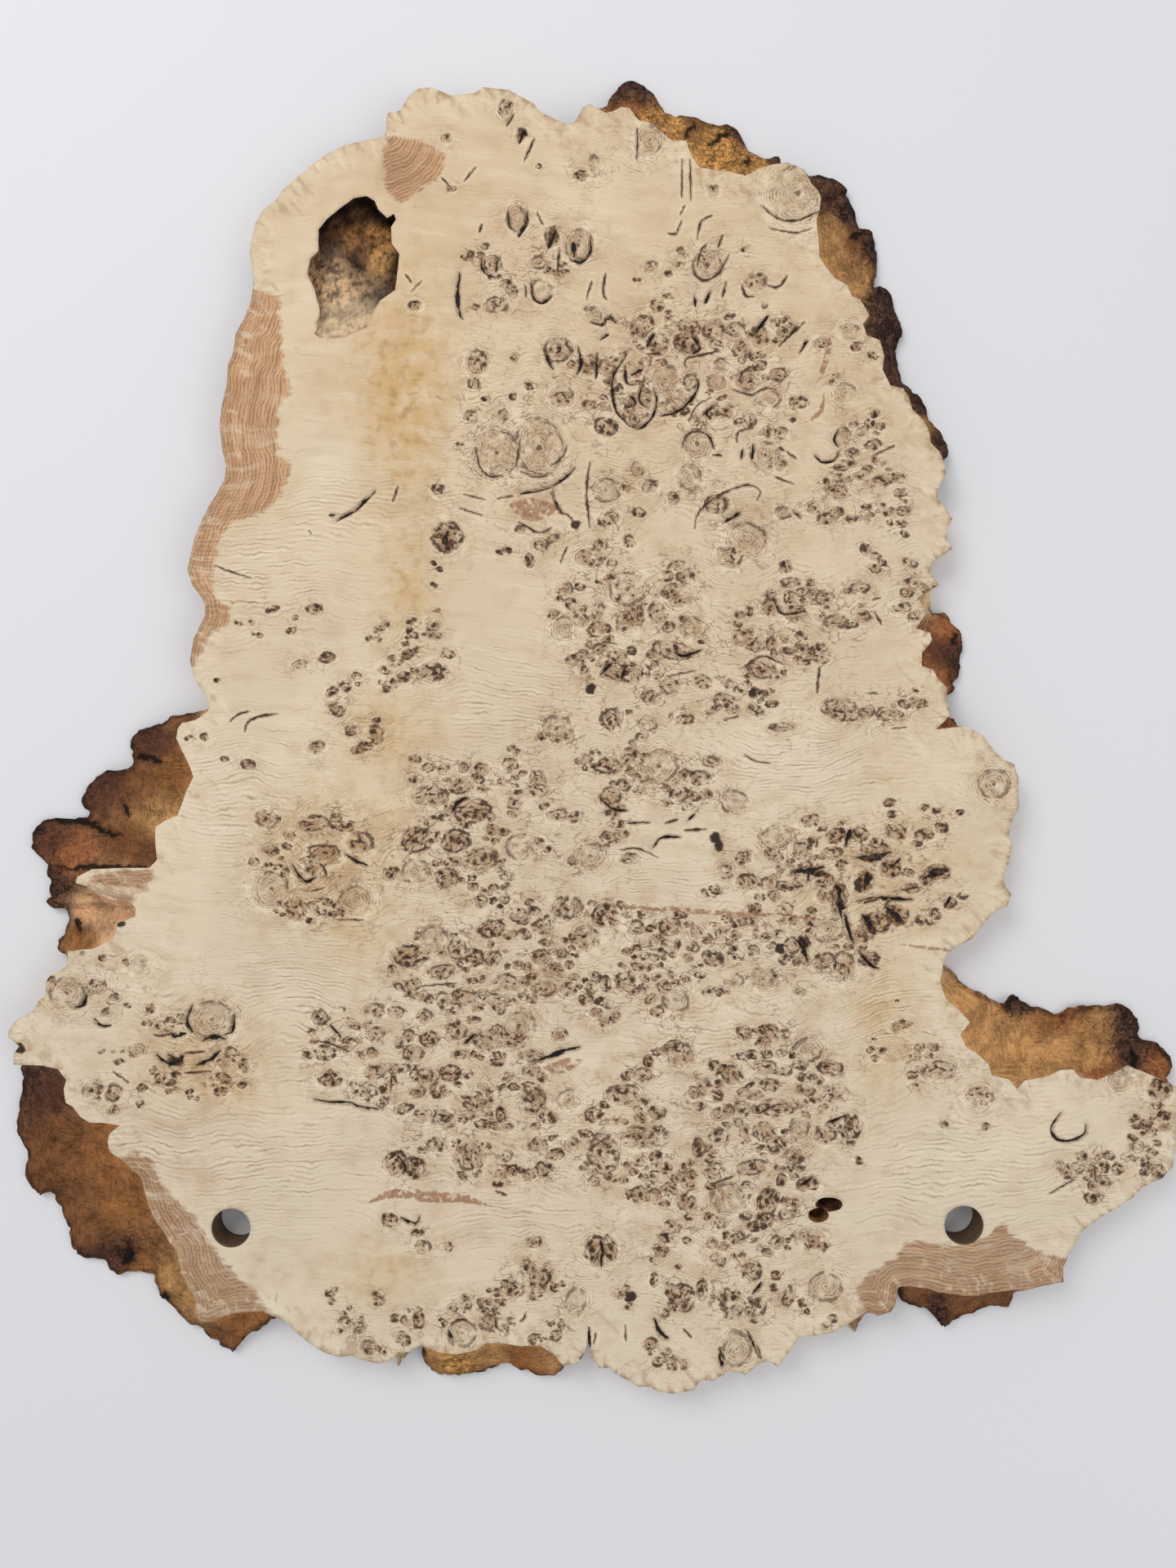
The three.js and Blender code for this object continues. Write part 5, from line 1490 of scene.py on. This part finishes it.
# %% [markdown]
# ## The look of the rim and the sapwood
# Near the rim the wood ends in rays and in darker finger tips. The sapwood has rings that follow the
# rim, in two tones, with a frayed border. Both read how far a point lies inside the rim.

# %% Face finish: the rim and the sapwood
streak = fin.noise_at(fin.join(rim_s / 4.5, rim_gap / 16.0, (place_x + place_y) / (9 * MM)), 1.0, 4.0)
rays = (streak - 0.5) * (1 - rim_gap.step(3.0, 26.0))
tip = (1 - rim_gap.step(0.0, 4.0)) * fingered * streak.step(0.42, 0.58)
sap_edge = fin.attribute("sap") + wobble * 6.0 + fine * 3.0 + (dash - 0.5) * 7.0
sap = sap_edge.step(-1.6, 1.6)
sap_wave = abs((rim_gap * 0.5 + wobble * 2.4 + fine * 0.7).fract() - 0.5) * 2
sap_dash = fin.noise_at(fin.join(rim_s / 13.0, rim_gap * 0.5, 7.0), 1.0, 2.0)
sap_line = sap_wave.step(0.5, 0.98) * sap_dash.step(0.34, 0.56) * sap
sap_pale = sap_wave.step(0.45, 0.0) * sap_dash.step(0.62, 0.42) * sap
sap_tone = fin.mix(place_y.step(-0.15, 0.05), paint(174, 144, 114), paint(206, 158, 114))
sap_tone = fin.mix(stain_noise.step(0.35, 0.7) * 0.6, sap_tone, paint(164, 118, 80))
sap_tone = fin.mix((1 - rim_gap.step(0.0, 9.0)) * 0.4, sap_tone, paint(146, 108, 80))
sap_tone = fin.mix(brown * 0.6, sap_tone, paint(150, 110, 78))
sap_streak = fin.noise_at(fin.join(rim_s / 45.0, rim_gap / 3.2, 2.0), 1.0, 3.0)
sap_tone = fin.mix(sap_streak.step(0.48, 0.68) * 0.6, sap_tone, paint(148, 104, 72))
sap_tone = fin.mix(sap_streak.step(0.46, 0.30) * 0.5, sap_tone, paint(216, 174, 134))
print(len(fin.tree.nodes), "nodes after the rim")

# %% [markdown]
# ## Putting the face together
# The marks are laid over one another like thin coats of paint, from the broad tones to the darkest
# pins. The order matters: what is deepest in the wood comes last. The dark marks also feed a bump, so
# that light catches their edges.

# %% Face finish: all of it
wood = fin.mix(place_y.step(-0.22, 0.30), paint(216, 200, 174), paint(212, 187, 153))
wood = fin.mix(cloud.step(0.35, 0.70) * 0.5, wood, paint(231, 213, 184))
wood = fin.mix(stain_noise.step(0.48, 0.75) * 0.35, wood, paint(192, 160, 124))
wood = fin.mix(honey * stain_noise.step(0.15, 0.6), wood, paint(204, 167, 112))
wood = fin.mix(honey * fin.noise(6 * MM, 4.0).step(0.46, 0.68) * 0.75, wood, paint(176, 136, 86))
wood = fin.mix(rosy * stain_noise.step(0.3, 0.7) * 0.8, wood, paint(196, 154, 122))
wood = fin.mix(brown * stain_noise.step(0.35, 0.7) * 0.6, wood, paint(170, 132, 98))
wood = fin.mix(pale * 0.8, wood, paint(231, 218, 193))
wood = fin.mix(sap * 0.95, wood, sap_tone)
wood = fin.mix(sap_line * 0.7, wood, paint(120, 84, 58))
wood = fin.mix(sap_pale * 0.35, wood, paint(222, 188, 152))
wood = fin.mix(sweep.step(0.52, 0.72) * 0.16, wood, paint(168, 138, 104))
wood = fin.mix(sweep.step(0.48, 0.28) * 0.25, wood, paint(236, 222, 197))
wood = fin.mix(rays.step(0.03, 0.16) * 0.4, wood, paint(160, 124, 88))
wood = fin.mix(rays.step(-0.03, -0.16) * 0.35, wood, paint(235, 221, 195))
wood = fin.mix(tip * 0.6, wood, paint(150, 108, 74))
wood = fin.mix(crowded * 0.1, wood, paint(236, 215, 181))
wood = fin.mix(halo * 0.5, wood, paint(244, 227, 196))
# Painted shade on one side of each eye.
wood = fin.mix(flank_shade * 0.28, wood, paint(172, 128, 86))
wood = fin.mix(crack_lip * 0.35, wood, paint(235, 219, 190))
wood = fin.mix(pale_line * 0.4, wood, paint(244, 230, 203))
wood = fin.mix(fine_line * 0.25, wood, paint(140, 108, 78))
wood = fin.mix(grain_line * 0.6, wood, paint(130, 97, 68))
wood = fin.mix(crowded * stain_noise.step(0.40, 0.70) * 0.3, wood, paint(176, 140, 102))
wood = fin.mix(tick * 0.3, wood, paint(118, 84, 58))
wood = fin.mix(swirl * 0.65, wood, paint(112, 80, 55))
wood = fin.mix(slit * 0.6, wood, paint(84, 59, 42))
wood = fin.mix(body * (0.24 + 0.4 * dark), wood, paint(158, 118, 82))
wood = fin.mix(ring_line * (0.85 - 0.25 * dark), wood, paint(104, 74, 51))
wood = fin.mix(dot * 0.8, wood, paint(70, 47, 33))
wood = fin.mix((pin_halo + stroke_halo).least(1.0) * (0.35 + 0.45 * dark), wood, paint(118, 80, 52))
wood = fin.mix(outline * (0.6 + 0.35 * dark), wood, paint(64, 43, 30))
wood = fin.mix(stroke * 0.85, wood, paint(58, 39, 27))
wood = fin.mix(pin * (0.7 + 0.2 * dark), wood, paint(48, 32, 23))
wood = fin.mix(pupil * 0.85, wood, paint(44, 30, 21))
wood = fin.mix(vein * 0.85, wood, fin.mix(fine.step(-0.2, 0.2), paint(136, 92, 64), paint(172, 128, 96)))
wood = fin.mix(heart * pit, wood, paint(58, 42, 33))
wood = fin.mix(crack_shade * 0.5, wood, paint(124, 88, 60))
crack_tone = fin.mix(crack_width.step(1.0, 2.2), paint(72, 50, 35), paint(25, 17, 14))
torn = crack_width.step(4.0, 6.0) * fin.noise(3 * MM, 4.0).step(0.46, 0.62)
crack_tone = fin.mix(torn * 0.8, crack_tone, paint(104, 72, 48))
wood = fin.mix(crack, wood, crack_tone)
carved = pin.most(pupil) * 0.5 + stroke * 0.5 + crack * 0.8 + grain_line * 0.2
fin.bump(0.5 - carved, 0.8 * MM, 0.8)
fin.set(base_color=wood, roughness=0.66 + fine * 0.2, specular_ior_level=0.3)
face_finish = fin
print(len(fin.tree.nodes), "nodes in all")

# %% [markdown]
# ## The finish of the bark
# Bark is dull and fibrous, with crumbs, ridges and dark creases. The tone from the mesh is made lighter
# and darker by noises: the fibres and crumbs are the bark's own colour, the light on high ridges is painted
# highlight, and the dark in low ridges and creases is painted shade. Fibres run upright in some places and
# level in others, and the crevices, painted as shadow lines, follow the given runs.

# %% Bark finish
fin = Finish("bark")
tone = fin.attribute("bark_tone", "Color")
crumbled = fin.attribute("bark_tone", "Alpha")
rim_s, rim_gap, foot_gap = fin.split(fin.attribute("rim", "Vector"))
place_x, place_y, place_z = fin.split(fin.place)
broad = fin.noise(13 * MM, 4.0, rough=0.6)
ridge = fin.noise(5 * MM, 5.0, rough=0.6)
crumb = fin.noise(1.5 * MM, 4.0, rough=0.65)
bend = fin.noise(24 * MM, 2.0) * 16
upright_place = fin.join(place_x / (0.9 * MM) + bend, place_y / (8 * MM), place_z / (8 * MM))
level_place = fin.join(place_x / (8 * MM), place_y / (0.9 * MM) + bend, place_z / (2 * MM))
upright = fin.noise_at(upright_place, 1.0, 4.0)
level = fin.noise_at(level_place, 1.0, 4.0)
turned = fin.noise(34 * MM, 1.0).step(0.47, 0.53)
fibre = upright + (level - upright) * turned
layer = fin.noise_at(fin.join(rim_s / 20.0, rim_gap / 1.7, 3.0), 1.0, 3.0)
crease = (1 - abs(fin.noise(7 * MM, 3.0) - 0.5).step(0.0, 0.045)) * crumbled.step(0.4, 0.8)
# Lighter and darker copies of the tone. Mostly they give the bark's own colour; on the ridges and in the
# creases they are painted highlight and painted shade.
bright = fin.mix(1.0, tone, (2.3, 2.15, 2.0, 1), "MULTIPLY")
light = fin.mix(1.0, tone, (1.35, 1.31, 1.26, 1), "MULTIPLY")
dull = fin.mix(1.0, tone, (0.72, 0.69, 0.68, 1), "MULTIPLY")
deep = fin.mix(1.0, tone, (0.24, 0.21, 0.20, 1), "MULTIPLY")
bark = fin.mix(broad.step(0.36, 0.64), dull, light)
# Painted shade in the low parts of the ridges, which the bump sinks.
bark = fin.mix(ridge.step(0.44, 0.28) * (0.05 + 0.85 * crumbled), bark, deep)
bark = fin.mix(fibre.step(0.52, 0.66) * (0.15 + 0.3 * crumbled.step(0.1, 0.25)), bark, deep)
bark = fin.mix(fibre.step(0.48, 0.34) * 0.45, bark, light)
bark = fin.mix(layer.step(0.56, 0.70) * 0.25, bark, deep)
bark = fin.mix(crumb.step(0.52, 0.62) * (0.05 + 0.75 * crumbled), bark, deep)
bark = fin.mix(crumb.step(0.48, 0.40) * crumbled * 0.6, bark, bright)
# Painted highlight on the high parts of the ridges, which the bump raises.
bark = fin.mix(ridge.step(0.54, 0.62) * crumbled * 0.6, bark, bright)
# Painted shade in the creases, which the bump also sinks.
bark = fin.mix(crease * 0.85, bark, deep)
foot = (1 - foot_gap.step(0.3, 4.5)) * ridge.step(0.32, 0.58) * crumbled.step(0.1, 0.22)
bark = fin.mix(foot * 0.85, bark, paint(40, 28, 23))
# Painted shadow: the crevices are drawn near black, and the bark beside them is darkened as shade.
crevice_shadow_gap, _ = run_gap(fin, "crevice", (ridge - 0.5) * 8.0 + (crumb - 0.5) * 3.0)
crevice = 1 - crevice_shadow_gap.step(-0.4, 0.6)
bark = fin.mix((1 - crevice_shadow_gap.step(0.0, 3.0)) * 0.5, bark, deep)
bark = fin.mix(crevice * 0.9, bark, paint(24, 17, 14))
fin.set(base_color=bark, roughness=0.9, specular_ior_level=0.15)
fin.bump(ridge * 0.8 + crumb * 0.5 + fibre * 0.35 - crease * 0.4 - crevice * 0.6, 2.2 * MM, 0.9)
bark_finish = fin
print(len(fin.tree.nodes), "nodes of bark")

# %% [markdown]
# ## The hollow, the bores and the back
# The hollow is rotten wood in lumps and strands, with painted highlights on its lumps, painted shade
# between them and painted shadow under its upper rim. The bores are smooth, and their shade is painted into
# the colour of their walls. The back isn't seen in the photograph, so it is plain sawn wood. The five
# finishes go onto the one piece in the order of its slots.

# %% Hollow, bores and back
fin = Finish("hollow")
tone = fin.attribute("bark_tone", "Color")
crumbled = fin.attribute("bark_tone", "Alpha")
place_x, place_y, place_z = fin.split(fin.place)
lump = fin.noise(6 * MM, 5.0, rough=0.62)
strand_place = fin.join(place_x / (1.2 * MM) + lump * 6.0, place_y / (4.5 * MM), place_z / (3 * MM))
strand = fin.noise_at(strand_place, 1.0, 4.0)
# A lighter and a darker copy of the tone: on the lumps they are painted highlight and painted shade, on the
# strands the wood's own streaks.
light = fin.mix(1.0, tone, (2.0, 1.86, 1.68, 1), "MULTIPLY")
deep = fin.mix(1.0, tone, (0.18, 0.15, 0.13, 1), "MULTIPLY")
# Painted highlight on the raised lumps and painted shade in the low parts between them, in step with the
# bump.
hollow = fin.mix(lump.step(0.51, 0.58) * (0.1 + 0.9 * crumbled), tone, light)
hollow = fin.mix(lump.step(0.48, 0.40) * (0.1 + crumbled), hollow, deep)
hollow = fin.mix(strand.step(0.56, 0.63) * (0.1 + 0.8 * crumbled), hollow, deep)
hollow = fin.mix(strand.step(0.43, 0.35) * crumbled * 0.6, hollow, light)
fin.set(base_color=hollow, roughness=0.9, specular_ior_level=0.15)
fin.bump(lump + strand * 0.4, 3.0 * MM, 0.9)
hollow_finish = fin

fin = Finish("bore_wall")
# Painted shade: the bore walls are light wood, drawn dark brown to stand for the shade inside the holes.
fin.set(base_color=fin.mix(fin.noise(6 * MM, 3.0), paint(70, 52, 40), paint(120, 94, 68)), roughness=0.8)
bore_finish = fin

fin = Finish("sawn_back")
streak = fin.noise(4 * MM, 4.0, stretch=(0.25, 1, 1))
patch = fin.noise(40 * MM, 4.0)
back = fin.mix(patch.step(0.35, 0.7), paint(212, 194, 162), paint(178, 150, 116))
fin.set(base_color=fin.mix(streak.step(0.5, 0.7) * 0.4, back, paint(140, 110, 80)), roughness=0.75)
back_finish = fin

SHARP_DEGREES = 48
for finish in (face_finish, bark_finish, back_finish, hollow_finish, bore_finish):
    mesh.materials.append(finish.material)
mesh.shade_smooth()
mesh.set_sharp_from_angle(angle=math.radians(SHARP_DEGREES))
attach(slab_piece, "root")
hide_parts("burl_slab")
print("triangles", len(mesh.polygons))
